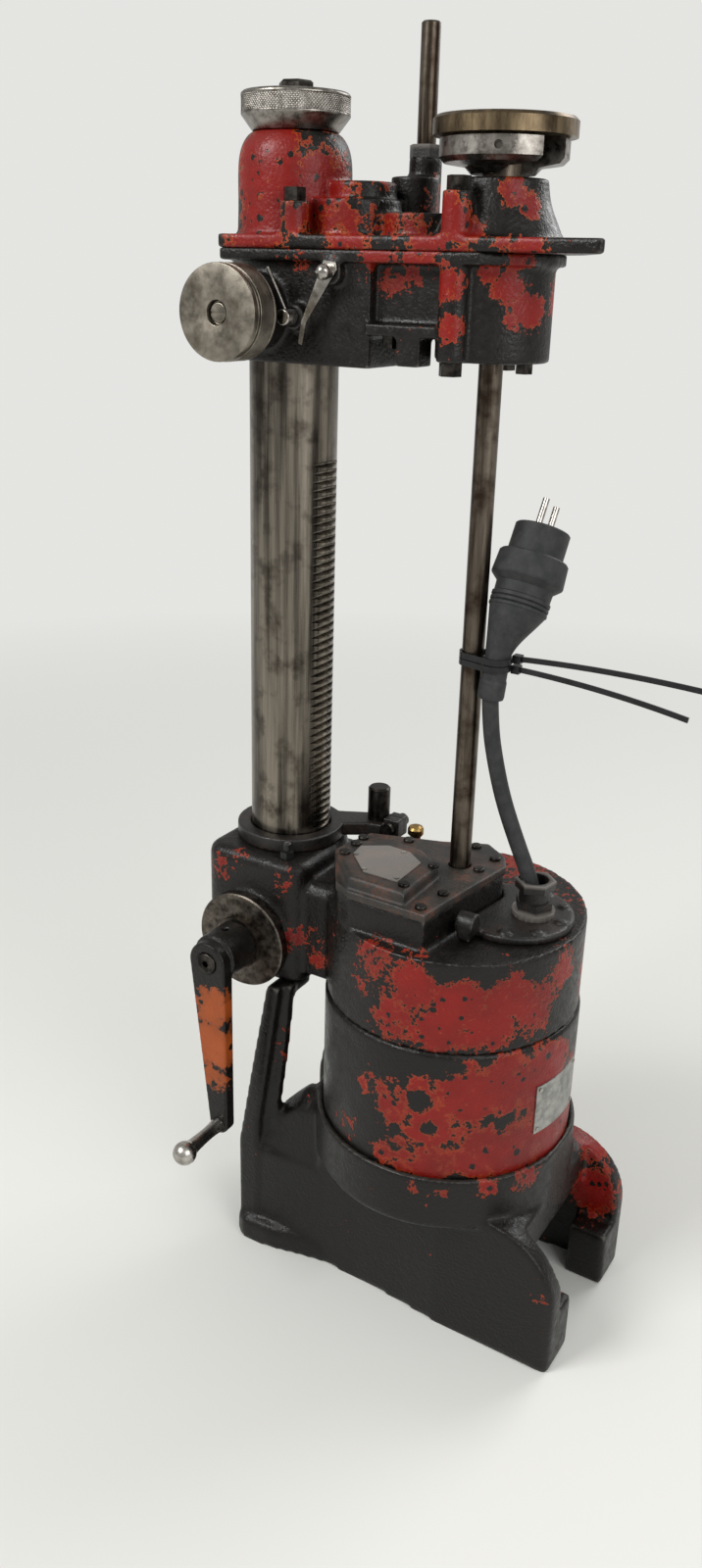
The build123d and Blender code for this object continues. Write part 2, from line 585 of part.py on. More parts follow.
with BuildPart() as pinion_gear:
    level_gear(PINION_X, CRANK_Z, HAND_GEAR_Y, HAND_GEAR_W, PINION_GEAR_TEETH, HAND_MODULE,
               pinion_gear_phase)
    rod_y(PINION_X, CRANK_Z, HAND_GEAR_Y - HAND_GEAR_W - 1, 20, 6, mode=Mode.SUBTRACT)
finish(pinion_gear, "pinion_gear")

with BuildPart() as crank_shaft:
    rod_y(BAR_X, CRANK_Z, -106, HAND_GEAR_Y + 106, 7)
    level_gear(BAR_X, CRANK_Z, HAND_GEAR_Y, HAND_GEAR_W, CRANK_TEETH, HAND_MODULE, crank_phase)
finish(crank_shaft, "crank_shaft")

with BuildPart() as crank_collar:
    rod_y(BAR_X, CRANK_Z, -71, 9, 39.5)
    chamfer(crank_collar.edges().filter_by(GeomType.CIRCLE), length=1)
    rod_y(BAR_X, CRANK_Z, -76, 6, 21)
    rod_y(BAR_X, CRANK_Z, -80, 30, 7, mode=Mode.SUBTRACT)
finish(crank_collar, "crank_collar")

CRANK_REACH = 148.0
HANDLE_X = BAR_X + 8.5
HANDLE_Z = CRANK_Z + 2 - CRANK_REACH
with BuildPart() as crank_arm:
    # round hub, then a bar that tapers down to the handle
    rod_y(BAR_X, CRANK_Z, -105, 29, 19)
    with BuildSketch(Plane.XZ.offset(104)):
        with Locations((BAR_X, CRANK_Z)):
            Circle(16.5)
        with Locations((HANDLE_X, HANDLE_Z)):
            Circle(8.5)
        make_hull()
    extrude(amount=11)
    fillet(crank_arm.faces().sort_by(Axis.Y)[0].edges(), radius=1.2)
    rod_y(BAR_X, CRANK_Z, -106, 60, 7, mode=Mode.SUBTRACT)
    rod_y(BAR_X, CRANK_Z, -120, 15, 8.6, mode=Mode.SUBTRACT)
    rod_y(HANDLE_X, HANDLE_Z, -120, 40, 4 + RUN, mode=Mode.SUBTRACT)
    post(BAR_X, -90, CRANK_Z + 12, 10, 2.5, mode=Mode.SUBTRACT)
finish(crank_arm, "crank_arm")

with BuildPart() as crank_screw:
    rod_y(BAR_X, CRANK_Z, -116.5, 10.5, 8.6)
    fillet(crank_screw.edges().sort_by(Axis.Y)[0], radius=1.5)
    with BuildSketch(Plane.XZ.offset(117)):
        with Locations((BAR_X, CRANK_Z)):
            RegularPolygon(3, 6)
    extrude(amount=-4, mode=Mode.SUBTRACT)
finish(crank_screw, "crank_screw")

BALL_R, BALL_Y = 9.4, -158.0
ball_start_r, ball_start_y = 0.8 * BALL_R, BALL_Y + 0.6 * BALL_R
with BuildPart() as crank_handle:
    with BuildSketch(Plane(origin=(HANDLE_X, 0, HANDLE_Z))):
        with BuildLine():
            Polyline((0, -101), (4, -101), (4, -115 - GAP), (6.2, -115 - GAP), (5.6, -121))
            Spline((5.6, -121), (5.2, -133), (5.7, -144), (ball_start_r, ball_start_y),
                   tangents=((-0.1, -1), (0.6, -0.8)))
            ThreePointArc((ball_start_r, ball_start_y), (BALL_R, BALL_Y), (0, BALL_Y - BALL_R))
            Line((0, BALL_Y - BALL_R), (0, -101))
        make_face()
    revolve(axis=Axis((HANDLE_X, 0, HANDLE_Z), (0, 1, 0)))
finish(crank_handle, "crank_handle")

# ======== bar, spindle and head ========
with BuildPart() as bar_tube:
    post(BAR_X, 0, BAR_FOOT_Z, BAR_TOP_Z - BAR_FOOT_Z, BAR_R)
    chamfer(bar_tube.edges().group_by(Axis.Z)[0], length=1)
    post(BAR_X, 0, BAR_FOOT_Z - 1, BAR_TOP_Z, BAR_BORE, mode=Mode.SUBTRACT)
    # rack spaces; one is level with the pinion
    slope = tan(radians(RACK_ANGLE))
    half_line = RACK_PITCH / 4 + 0.08
    root_x = RACK_LINE_X - 1.25 * RACK_PITCH / pi
    outer_x = BAR_X + BAR_R + 0.5
    half_root = half_line - slope * (RACK_LINE_X - root_x)
    half_outer = half_line + slope * (outer_x - RACK_LINE_X)
    with BuildSketch(Plane.XZ.offset(20)) as rack:
        for tooth in range(-3, RACK_TEETH - 3):
            z = CRANK_Z + RACK_PITCH * tooth
            with BuildLine():
                Polyline((root_x, z - half_root), (outer_x, z - half_outer),
                         (outer_x, z + half_outer), (root_x, z + half_root), close=True)
            make_face()
    extrude(amount=-40, mode=Mode.SUBTRACT)
finish(bar_tube, "bar_tube")

with BuildPart() as bar_bearings:
    for z in (BAR_FOOT_Z + 4, BAR_TOP_Z - 22):
        post(BAR_X, 0, z, 18, BAR_BORE)
    post(BAR_X, 0, BAR_FOOT_Z, 600, 12 + RUN, mode=Mode.SUBTRACT)
finish(bar_bearings, "bar_bearings")

phases = [0.0]
for teeth, next_teeth in ((SPINDLE_TEETH, IDLER_A_TEETH), (IDLER_A_TEETH, IDLER_B_TEETH),
                          (IDLER_B_TEETH, SLEEVE_TEETH)):
    phases.append(meshing_phase(teeth, phases[-1], 0.0, next_teeth))
train = [(BAR_X, SPINDLE_TEETH), (IDLER_A_X, IDLER_A_TEETH), (IDLER_B_X, IDLER_B_TEETH),
         (0.0, SLEEVE_TEETH)]

with BuildPart() as head_case:
    with BuildSketch(Plane.XY.offset(CASE_RIM_Z)):
        with BuildLine():
            Polyline((BAR_X - 44, -26), (BAR_X - 28, -48.5), (10, -48.5), (36, -26), (40, 0),
                     (36, 26), (10, 48.5), (BAR_X - 28, 48.5), (BAR_X - 44, 26), close=True)
        make_face()
    extrude(amount=FLANGE_Z - CASE_RIM_Z)
    # clamp round the bar, and the gear trough, set back behind the clamp's face
    post(BAR_X, 0, CASE_BASE, CASE_RIM_Z - CASE_BASE, CLAMP_HALF)
    block((BAR_X, TROUGH_X), (-CLAMP_HALF, CLAMP_HALF), (CASE_BASE, CASE_RIM_Z))
    block((TROUGH_X, 0), (-HEAD_WALL, HEAD_WALL), (745, CASE_RIM_Z))
    # drive block: round on the right, ribbed at its left corners
    post(0, 0, BLOCK_BASE, CASE_RIM_Z - BLOCK_BASE, 37)
    block((-18, 0), (-37, 37), (BLOCK_BASE, CASE_RIM_Z))
    for side in (-1, 1):
        post(-9, side * 40, BLOCK_BASE, FLANGE_Z - BLOCK_BASE, 9.5)
        block((TROUGH_X - 1, -14), (side * (HEAD_WALL - 1), side * 45), (745, 752))
        block((BAR_X + 107, BAR_X + 124), (side * 26, side * 44), (727, 750))
    # dial boss, and the bosses of the pawl and its spring
    rod_y(BAR_X, DIAL_Z, -60, 26, 24)
    rod_y(*PAWL_AT, -50, 12, 8)
    rod_y(*SPRING_SCREW_AT, -50, 12, 8)
    post(*STOP_AT, CASE_RIM_Z - 12, FLANGE_Z - CASE_RIM_Z + 12, 13)
    # bores
    post(BAR_X, 0, CASE_BASE - 1, 80, BAR_R, mode=Mode.SUBTRACT)
    for x, teeth in train:
        post(x, 0, CAVITY_Z, 60, HEAD_MODULE * (teeth / 2 + 1) + 1.2, mode=Mode.SUBTRACT)
    post(0, 0, BLOCK_BASE + 4, 16, 21, mode=Mode.SUBTRACT)
    post(0, 0, BLOCK_BASE - 1, 60, SLEEVE_R + GAP, mode=Mode.SUBTRACT)
    for x in (IDLER_A_X, IDLER_B_X):
        post(x, 0, CAVITY_Z - 10, 20, 7, mode=Mode.SUBTRACT)
    rod_y(BAR_X, DIAL_Z, -61, 16, 7 + RUN, mode=Mode.SUBTRACT)
    rod_y(*PAWL_AT, -51, 8, 3 + RUN, mode=Mode.SUBTRACT)
    rod_y(*SPRING_SCREW_AT, -51, 9, 2.5, mode=Mode.SUBTRACT)
    post(*STOP_AT, 700, 120, 8, mode=Mode.SUBTRACT)
    for x, y in COVER_BOLTS:
        post(x, y, CASE_RIM_Z + 0.8, 20, 3.2, mode=Mode.SUBTRACT)
    for side in (-1, 1):
        post(-9, side * 40, BLOCK_BASE - 1, 14, 3.2, mode=Mode.SUBTRACT)
finish(head_case, "head_case")

with BuildPart() as head_cover:
    with BuildSketch(Plane.XY.offset(FLANGE_Z)):
        Polygon(*FLANGE_OUTLINE, align=None)
    extrude(amount=FLANGE_TOP - FLANGE_Z)
    fillet(head_cover.edges().filter_by(Axis.Z).filter_by_position(Axis.X, 80, 92), radius=3)
    # bottle over the bar
    with BuildSketch(BAR_SECTION):
        with BuildLine():
            Polyline((0, FLANGE_TOP - 2), (40.2, FLANGE_TOP - 2), (39, 807), (38.6, 818))
            Spline((38.6, 818), (38.5, 840), (37.5, 853), (34, 862), (28.5, BOTTLE_TOP),
                   tangents=((-0.02, 1), (-1, 0.35)))
            Line((28.5, BOTTLE_TOP), (0, BOTTLE_TOP))
            Line((0, BOTTLE_TOP), (0, FLANGE_TOP - 2))
        make_face()
    revolve(axis=BAR_AXIS)
    # domes over the idlers, boss of the stop rod
    post(BAR_X + 48, 0, FLANGE_TOP, 22, 31)
    post(BAR_X + 54, 0, FLANGE_TOP, 33, 22)
    post(IDLER_B_X, 0, FLANGE_TOP, 14, 26)
    post(STOP_AT[0] - 3, STOP_AT[1] - 8, FLANGE_TOP, 38, 16)
    post(*STOP_AT, FLANGE_Z, 13, 13)
    post(*STOP_AT, FLANGE_TOP, 50, 11)
    for x, y in COVER_BOLTS:
        post(x, y, FLANGE_Z, BOLT_BOSS_TOPS[x] - FLANGE_Z, 9.5)
        block((x - 9.5, x + 9.5), (y, y + (9 if y > 0 else -9)), (FLANGE_Z, FLANGE_TOP + 1))
    # bell under the hand wheel
    with BuildSketch(Plane.XZ) as bell:
        with BuildLine():
            Line((0, FLANGE_TOP - 1), (43, FLANGE_TOP - 1))
            Spline((43, FLANGE_TOP - 1), (37, 811), (31.5, 823), (28.5, BELL_TOP),
                   tangents=((-0.9, 0.4), (-0.1, 1)))
            Line((28.5, BELL_TOP), (0, BELL_TOP))
            Line((0, BELL_TOP), (0, FLANGE_TOP - 1))
        make_face()
    revolve(bell.sketch, Axis.Z)
    # hollows
    post(BAR_X, 0, FLANGE_Z - 1, 22, 33, mode=Mode.SUBTRACT)
    post(BAR_X, 0, FLANGE_Z - 1, 56, 24, mode=Mode.SUBTRACT)
    post(BAR_X, 0, FLANGE_Z - 1, 80, 9, mode=Mode.SUBTRACT)
    post(0, 0, FLANGE_Z - 1, 60, SLEEVE_R + GAP, mode=Mode.SUBTRACT)
    post(0, 0, 822, 30, 18, mode=Mode.SUBTRACT)
    for x in (IDLER_A_X, IDLER_B_X):
        post(x, 0, FLANGE_Z - 1, 12, 7, mode=Mode.SUBTRACT)
    post(*STOP_AT, FLANGE_Z - 1, 80, 8, mode=Mode.SUBTRACT)
    for x, y in COVER_BOLTS:
        post(x, y, FLANGE_Z - 1, 60, 3.2, mode=Mode.SUBTRACT)
finish(head_cover, "head_cover")

with BuildPart() as head_bolts:
    for x, y in COVER_BOLTS:
        post(x, y, CASE_RIM_Z + 1, BOLT_BOSS_TOPS[x] - CASE_RIM_Z, 3)
        hexagon(x, y, BOLT_BOSS_TOPS[x], 8, 13, turn=15)
    for y in (-40, 40):
        post(-9, y, BLOCK_BASE, 12, 3)
        hexagon(-9, y, BLOCK_BASE - 8, 8, 13, turn=10)
    hexagon(27, -8, BLOCK_BASE - 6, 6, 10)
    hexagon(BAR_X + 97, -32, 737, 8, 11, turn=5)
finish(head_bolts, "head_bolts")

with BuildPart() as idler_pins:
    for x in (IDLER_A_X, IDLER_B_X):
        post(x, 0, CAVITY_Z - 10, FLANGE_Z + 11 - CAVITY_Z + 10, 7)
finish(idler_pins, "idler_pins")

with BuildPart() as head_bearings:
    post(0, 0, BLOCK_BASE + 4, 16, 21)
    post(0, 0, 822, BELL_TOP - 822, 18)
    post(0, 0, BLOCK_BASE, 200, SLEEVE_R + RUN, mode=Mode.SUBTRACT)
finish(head_bearings, "head_bearings")

with BuildPart() as stop_rod_gland:
    post(*STOP_AT, FLANGE_TOP + 30, 20, 8)
    hexagon(*STOP_AT, FLANGE_TOP + 50, 8, 20, turn=10)
    post(*STOP_AT, 700, 200, STOP_R + RUN, mode=Mode.SUBTRACT)
finish(stop_rod_gland, "stop_rod_gland")

with BuildPart() as spindle:
    post(BAR_X, 0, BAR_FOOT_Z - 4, GEAR_Z + GEAR_W + 4 - BAR_FOOT_Z + 4, 12)
    post(BAR_X, 0, BAR_FOOT_Z + 23, 6, 16)
finish(spindle, "spindle")

with BuildPart() as spindle_gear:
    upright_gear(BAR_X, 0, GEAR_Z, GEAR_W, SPINDLE_TEETH, HEAD_MODULE, phases[0])
    post(BAR_X, 0, GEAR_Z - 1, 30, 12, mode=Mode.SUBTRACT)
finish(spindle_gear, "spindle_gear")

with BuildPart() as cutter_head:
    post(BAR_X, 0, BAR_FOOT_Z - 11, 10, 28)
    chamfer(cutter_head.edges(), length=1)
    post(BAR_X, 0, BAR_FOOT_Z - 4, 10, 12, mode=Mode.SUBTRACT)
    rod_x(0, BAR_FOOT_Z - 6.5, BAR_X + 14, 20, 2, mode=Mode.SUBTRACT)
finish(cutter_head, "cutter_head")

with BuildPart() as cutter_bit:
    rod_x(0, BAR_FOOT_Z - 6.5, BAR_X + 14, 17, 2)
finish(cutter_bit, "cutter_bit")

with BuildPart() as idler_gear_a:
    upright_gear(IDLER_A_X, 0, GEAR_Z, GEAR_W, IDLER_A_TEETH, HEAD_MODULE, phases[1])
    post(IDLER_A_X, 0, GEAR_Z - 1, 30, 7 + RUN, mode=Mode.SUBTRACT)
finish(idler_gear_a, "idler_gear_a")

with BuildPart() as idler_gear_b:
    upright_gear(IDLER_B_X, 0, GEAR_Z, GEAR_W, IDLER_B_TEETH, HEAD_MODULE, phases[2])
    post(IDLER_B_X, 0, GEAR_Z - 1, 30, 7 + RUN, mode=Mode.SUBTRACT)
finish(idler_gear_b, "idler_gear_b")

with BuildPart() as sleeve_gear:
    upright_gear(0, 0, GEAR_Z, GEAR_W, SLEEVE_TEETH, HEAD_MODULE, phases[3])
    post(0, 0, BLOCK_BASE + 1, SLEEVE_TOP - BLOCK_BASE - 1, SLEEVE_R)
    post(0, 0, BLOCK_BASE, 200, SHAFT_R + RUN, mode=Mode.SUBTRACT)
finish(sleeve_gear, "sleeve_gear")

with BuildPart() as hand_wheel:
    with BuildSketch(Plane.XZ) as section:
        with BuildLine():
            Polyline((0, BELL_TOP + 2), (20, BELL_TOP + 2), (24, 844), (37, 846), (40, 849),
                     (40, RIM_BASE - 1.5), (38.5, RIM_BASE), (0, RIM_BASE), close=True)
        make_face()
    revolve(section.sketch, Axis.Z)
    post(0, 0, BELL_TOP, SLEEVE_TOP - BELL_TOP, SLEEVE_R, mode=Mode.SUBTRACT)
    post(0, 0, BELL_TOP, 60, SHAFT_R + RUN, mode=Mode.SUBTRACT)
    for turn in (-70, 110):
        direction = (cos(radians(turn)), sin(radians(turn)), 0)
        start = Vector(*direction) * 28 + Vector(0, 0, 854)
        with BuildSketch(Plane(origin=start, z_dir=direction)):
            Circle(2.5)
        extrude(amount=20, mode=Mode.SUBTRACT)
finish(hand_wheel, "hand_wheel")

with BuildPart() as wheel_rim:
    post(0, 0, RIM_BASE, 11, 44.5)
    chamfer(wheel_rim.edges().group_by(Axis.Z)[-1], length=2)
    post(0, 0, RIM_BASE - 1, 20, SHAFT_R + RUN, mode=Mode.SUBTRACT)
finish(wheel_rim, "wheel_rim")

with BuildPart() as centring_knob:
    with BuildSketch(BAR_SECTION):
        with BuildLine():
            Polyline((0, 850), (9 - GAP, 850), (9 - GAP, BOTTLE_TOP + 0.4), (29, BOTTLE_TOP + 0.4),
                     (36.5, 877), (36.5, 889), (34.5, 891), (0, 891), close=True)
        make_face()
    revolve(axis=BAR_AXIS)
finish(centring_knob, "centring_knob")

with BuildPart() as knob_stud:
    hexagon(BAR_X, 0, 891, 7, 21, turn=12)
    chamfer(knob_stud.faces().sort_by(Axis.Z)[-1].edges(), length=1.5)
finish(knob_stud, "knob_stud")

with BuildPart() as dial:
    rod_y(BAR_X, DIAL_Z, -90.4, 5, 30.2)
    rod_y(BAR_X, DIAL_Z, -86, 4, 28.5)
    rod_y(BAR_X, DIAL_Z, -83, 17, 30.5)
    chamfer(dial.edges().filter_by(GeomType.CIRCLE).filter_by(
        lambda edge: edge.radius > 30), length=0.8)
    rod_y(BAR_X, DIAL_Z, -67, 20, 7)
    rod_y(BAR_X, DIAL_Z, -91, 6, 8, mode=Mode.SUBTRACT)
    rod_y(BAR_X - 17.5, DIAL_Z - 7, -91, 3, 1.8, mode=Mode.SUBTRACT)
finish(dial, "dial")

with BuildPart() as dial_screw:
    rod_y(BAR_X, DIAL_Z, -88.5, 3.5, 6.4)
    fillet(dial_screw.edges().sort_by(Axis.Y)[0], radius=1)
    block((BAR_X - 6, BAR_X + 6), (-90, -87.5), (DIAL_Z - 0.8, DIAL_Z + 0.8), mode=Mode.SUBTRACT)
finish(dial_screw, "dial_screw")

with BuildPart() as detent_pawl:
    rod_y(*PAWL_AT, -62, 11.6, 5)
    fillet(detent_pawl.edges().sort_by(Axis.Y)[0], radius=1)
    rod_y(*PAWL_AT, -51, 7, 3)
    lever_start = Vector(PAWL_AT[0], -55, PAWL_AT[1])
    lever_way = Vector(-15, -0.5, 28).normalized()
    with BuildSketch(Plane(origin=lever_start, z_dir=lever_way)):
        Circle(1.4)
    extrude(amount=34)
finish(detent_pawl, "detent_pawl")

with BuildPart() as detent_spring:
    # bent leaf from the ball-headed screw down past the pawl
    with BuildSketch(Plane.XZ.offset(51)):
        with BuildLine():
            Polyline((BAR_X + 66, 788), (BAR_X + 57, 789), (BAR_X + 40.5, 752), (BAR_X + 38, 738),
                     (BAR_X + 41, 737), (BAR_X + 44, 751), (BAR_X + 67, 784), close=True)
        make_face()
    extrude(amount=1.2)
    rod_y(*SPRING_SCREW_AT, -54, 5, 2.5, mode=Mode.SUBTRACT)
finish(detent_spring, "detent_spring")

with BuildPart() as detent_screws:
    rod_y(*SPRING_SCREW_AT, -56, 13, 2.5)
    rod_y(*SPRING_SCREW_AT, -56, 3.8, 4.6)
    with Locations((SPRING_SCREW_AT[0], -57, SPRING_SCREW_AT[1])):
        Sphere(5)
    block((BAR_X + 54, BAR_X + 66), (-63, -60), (781.3, 782.7), mode=Mode.SUBTRACT)
finish(detent_screws, "detent_screws")

with BuildPart() as stop_rod:
    post(*STOP_AT, 735, 934 - 735, STOP_R)
    chamfer(stop_rod.edges().group_by(Axis.Z)[-1], length=1)
finish(stop_rod, "stop_rod")

# ======== lead, plug and ties ========
route = [Vector(*point) for point in CORD_ROUTE]
radii = []
for before, at, after in zip(route, route[1:], route[2:]):
    turn = radians((at - before).get_angle(after - at))
    run = 0.95 * (at - before).length if before is route[0] else 0.45 * (at - before).length
    radii.append(min(run, 0.45 * (after - at).length) / tan(turn / 2))
print("cord radii", [round(r) for r in radii], "smallest allowed", 5 * 2 * CORD_R)

with BuildPart() as cord:
    with BuildLine() as cord_line:
        FilletPolyline(*CORD_ROUTE, radius=radii)
    with BuildSketch(Plane(origin=cord_line.line @ 0, z_dir=cord_line.line % 0)):
        Circle(CORD_R)
    sweep()
cord_length = sum(edge.length for edge in cord_line.line.edges())
print("cord length", round(cord_length, 1), "volume over section x length",
      round(cord.part.volume / (pi * CORD_R ** 2 * cord_length), 4))
finish(cord, "cord")


def turning_plane(start, lean):
    """Plane whose Y runs along a leaning axis, for a profile that is turned round it."""
    side = Vector(lean.Z, 0, -lean.X).normalized()
    return Plane(origin=start, x_dir=side, z_dir=side.cross(lean))


neck = [(PLUG_START + BOOT_LEAN * BOOT_LENGTH, BOOT_LEAN, 9.0),
        (Vector(22.1, -1, 546.5), Vector(0.17, 0.24, 0.955), 11.2),
        (Vector(24.9, 3, 558), Vector(0.2, 0.36, 0.91), 15.7),
        (GRIP_START, GRIP_LEAN, 20.0)]
with BuildPart() as plug_body:
    with BuildSketch(turning_plane(PLUG_START, BOOT_LEAN)):
        with BuildLine():
            Polyline((0, 0), (9.2, 0), (9.6, 2), (9.6, 12), (9.0, 14), (9.0, BOOT_LENGTH),
                     (0, BOOT_LENGTH), close=True)
        make_face()
    revolve(axis=Axis(PLUG_START, BOOT_LEAN))
    for at, lean, radius in neck:
        with BuildSketch(Plane(origin=at, x_dir=(1, 0, 0), z_dir=lean)):
            Circle(radius)
    loft()
    # three ribs, the skirt, and the round end that takes the pins
    with BuildSketch(turning_plane(GRIP_START, GRIP_LEAN)):
        with BuildLine():
            Polyline((0, 0), (20, 0), (20.8, 0.6), (20.8, 2.4), (19.8, 3.2), (20.9, 4), (20.9, 5.8),
                     (19.9, 6.6), (21, 7.4), (21, 9.6), (20, 10.4), (20.3, 17.3), (25.4, 21.8),
                     (25.8, 23), (24.7, 38), (23.6, 39.2), (19.8, 39.2), (19.6, GRIP_LENGTH - 0.8),
                     (18.8, GRIP_LENGTH), (0, GRIP_LENGTH), close=True)
        make_face()
    revolve(axis=Axis(GRIP_START, GRIP_LEAN))
finish(plug_body, "plug_body")

with BuildPart() as plug_pins:
    with BuildSketch(Plane(origin=GRIP_START + GRIP_LEAN * GRIP_LENGTH, x_dir=PIN_LINE, z_dir=GRIP_LEAN)):
        with Locations((-9.5, 0), (9.5, 0)):
            Circle(2.4)
    extrude(amount=19)
finish(plug_pins, "plug_pins")

TIE_WIDTH = 4.4
TIE_THICK = 1.3
with BuildPart() as cable_ties:
    # each tie: a band round the shaft and the boot, a lock box and a long tail
    for z, box_z, tail_end in ((529.0, 527.5, (158, 0, 516)), (534.0, 534.8, (178, -2, 537))):
        centre = PLUG_START + BOOT_LEAN * ((z - PLUG_START.Z) / BOOT_LEAN.Z)
        reach = hypot(centre.X, centre.Y)
        across = Vector(centre.X, centre.Y, 0).normalized()
        with BuildSketch(Plane(origin=(0, 0, z - TIE_WIDTH / 2), x_dir=across, z_dir=(0, 0, 1))):
            Circle(SHAFT_R + 0.5 + TIE_THICK)
            with Locations((reach, 0)):
                Circle(TIE_BORE + TIE_THICK)
            make_hull()
            with BuildSketch(mode=Mode.PRIVATE) as inside:
                Circle(SHAFT_R + 0.5)
                with Locations((reach, 0)):
                    Circle(TIE_BORE)
                make_hull()
            add(inside.sketch, mode=Mode.SUBTRACT)
        extrude(amount=TIE_WIDTH)
        # lock box beside the boot, and the tail to the right
        box = Vector(centre.X + 12.4, centre.Y + 7.5, box_z)
        block((box.X - 3, box.X + 3), (box.Y - 3, box.Y + 3), (box_z - 2.9, box_z + 2.9))
        middle = (box + Vector(*tail_end)) * 0.5 + Vector(0, 1, 2)
        with BuildLine() as tail:
            ThreePointArc(tuple(box), tuple(middle), tail_end)
        with BuildSketch(Plane(origin=tail.line @ 0, x_dir=(0, 0, 1), z_dir=tail.line % 0)):
            Rectangle(3.8, TIE_THICK)
        sweep()
finish(cable_ties, "cable_ties")
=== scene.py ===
"""Looks of a portable cylinder boring bar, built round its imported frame.

Lengths are in millimetres unless a name says otherwise, and turn to metres where a mesh is made.
Castings are copies of the CAD shells, remeshed and smoothed as sand castings are. The two knurled pieces
are surfaces worked out on a grid, and the lead is a curve. The other pieces keep the meshes of their solids.
"""

from math import cos, pi, radians, sin

import bmesh
import bpy
import numpy as np
from mathutils import Matrix, Vector


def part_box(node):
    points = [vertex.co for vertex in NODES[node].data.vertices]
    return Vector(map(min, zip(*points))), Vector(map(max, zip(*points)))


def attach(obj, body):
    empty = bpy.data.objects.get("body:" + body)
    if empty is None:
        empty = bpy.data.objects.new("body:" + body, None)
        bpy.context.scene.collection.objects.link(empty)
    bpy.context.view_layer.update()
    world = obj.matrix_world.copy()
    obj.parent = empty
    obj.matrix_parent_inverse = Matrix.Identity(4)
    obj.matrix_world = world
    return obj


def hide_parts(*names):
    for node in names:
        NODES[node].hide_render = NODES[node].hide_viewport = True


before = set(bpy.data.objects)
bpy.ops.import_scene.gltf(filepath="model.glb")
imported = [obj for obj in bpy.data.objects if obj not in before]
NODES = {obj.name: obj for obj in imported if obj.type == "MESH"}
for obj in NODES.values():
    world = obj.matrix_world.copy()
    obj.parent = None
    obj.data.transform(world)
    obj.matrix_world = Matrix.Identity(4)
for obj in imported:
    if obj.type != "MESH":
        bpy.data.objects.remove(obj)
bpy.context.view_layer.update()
MM = 0.001


def middle(node):
    """Centre of a CAD node's box, in mm."""
    low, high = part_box(node)
    return (np.array(low) / MM + np.array(high) / MM) / 2


# the bar's axis, on which the knob and the dial turn
BAR_X = middle("bar_tube")[0]

# ======== camera, light and floor ========
CAMERA_AT = (0.37498, -0.78711, 0.78557)
YAW, PITCH, ROLL = 0.541, 0.387, 0.026
FOCAL_PX, FRAME_HEIGHT_PX = 1295.0, 1600.0
SENSOR = 36.0
PALE, PALE_SEEN, PALE_LIGHT = "#f4f4f1", 0.86, 0.5


def linear(hex_colour):
    """An sRGB hex colour as linear RGBA."""
    values = [int(hex_colour[i:i + 2], 16) / 255 for i in (1, 3, 5)]
    return tuple(v / 12.92 if v <= 0.04045 else ((v + 0.055) / 1.055) ** 2.4 for v in values) + (1.0,)


def place_camera():
    """Camera at the photograph's place: yaw about Z, pitch below the horizon, and a slight roll."""
    lens = bpy.data.cameras.new("camera")
    lens.sensor_width = SENSOR
    lens.lens = FOCAL_PX / FRAME_HEIGHT_PX * SENSOR
    camera = bpy.data.objects.new("camera", lens)
    bpy.context.scene.collection.objects.link(camera)
    ahead = Vector((-sin(YAW) * cos(PITCH), cos(YAW) * cos(PITCH), -sin(PITCH)))
    level = Vector((cos(YAW), sin(YAW), 0.0))
    up = level.cross(ahead)
    right = level * cos(ROLL) + up * sin(ROLL)
    top = up * cos(ROLL) - level * sin(ROLL)
    turn = Matrix((right, top, -ahead)).transposed().to_4x4()
    camera.matrix_world = Matrix.Translation(CAMERA_AT) @ turn
    bpy.context.scene.camera = camera


def area_light(name, at, towards, size, watts):
    """Soft white square lamp that looks at a point; places and size are in metres."""
    lamp = bpy.data.lights.new(name, "AREA")
    lamp.size = size
    lamp.energy = watts
    holder = bpy.data.objects.new(name, lamp)
    bpy.context.scene.collection.objects.link(holder)
    holder.location = at
    holder.rotation_euler = (Vector(towards) - Vector(at)).to_track_quat("-Z", "Y").to_euler()


def add(tree, kind, inputs=None, **settings):
    """A node of a kind, with its settings; each input is a value or the socket that it is linked to."""
    node = tree.nodes.new(kind)
    for key, value in settings.items():
        setattr(node, key, value)
    for key, value in (inputs or {}).items():
        if isinstance(value, bpy.types.NodeSocket):
            tree.links.new(value, node.inputs[key])
        else:
            node.inputs[key].default_value = value
    return node


def light_scene():
    """Pale surroundings for the camera, and a dimmer sky for the object's own light."""
    scene = bpy.context.scene
    scene.view_settings.view_transform = "Standard"
    world = bpy.data.worlds.new("studio")
    scene.world = world
    world.use_nodes = True
    tree = world.node_tree
    tree.nodes.clear()
    path = add(tree, "ShaderNodeLightPath")
    seen = add(tree, "ShaderNodeMath",
               {0: path.outputs["Is Camera Ray"], 1: path.outputs["Is Transmission Ray"]},
               operation="MAXIMUM")
    strength = add(tree, "ShaderNodeMapRange", {"Value": seen.outputs[0], "To Min": PALE_LIGHT,
                                                "To Max": PALE_SEEN})
    pale = add(tree, "ShaderNodeBackground", {"Color": linear(PALE), "Strength": strength.outputs[0]})
    add(tree, "ShaderNodeOutputWorld", {"Surface": pale.outputs[0]})
    area_light("key", (-0.9, -1.5, 1.9), (-0.05, 0, 0.45), 0.9, 34)
    area_light("fill", (1.6, -0.7, 1.3), (0, 0, 0.4), 1.2, 16)
    area_light("back", (0.5, 1.5, 1.6), (0, 0, 0.5), 1.0, 16)


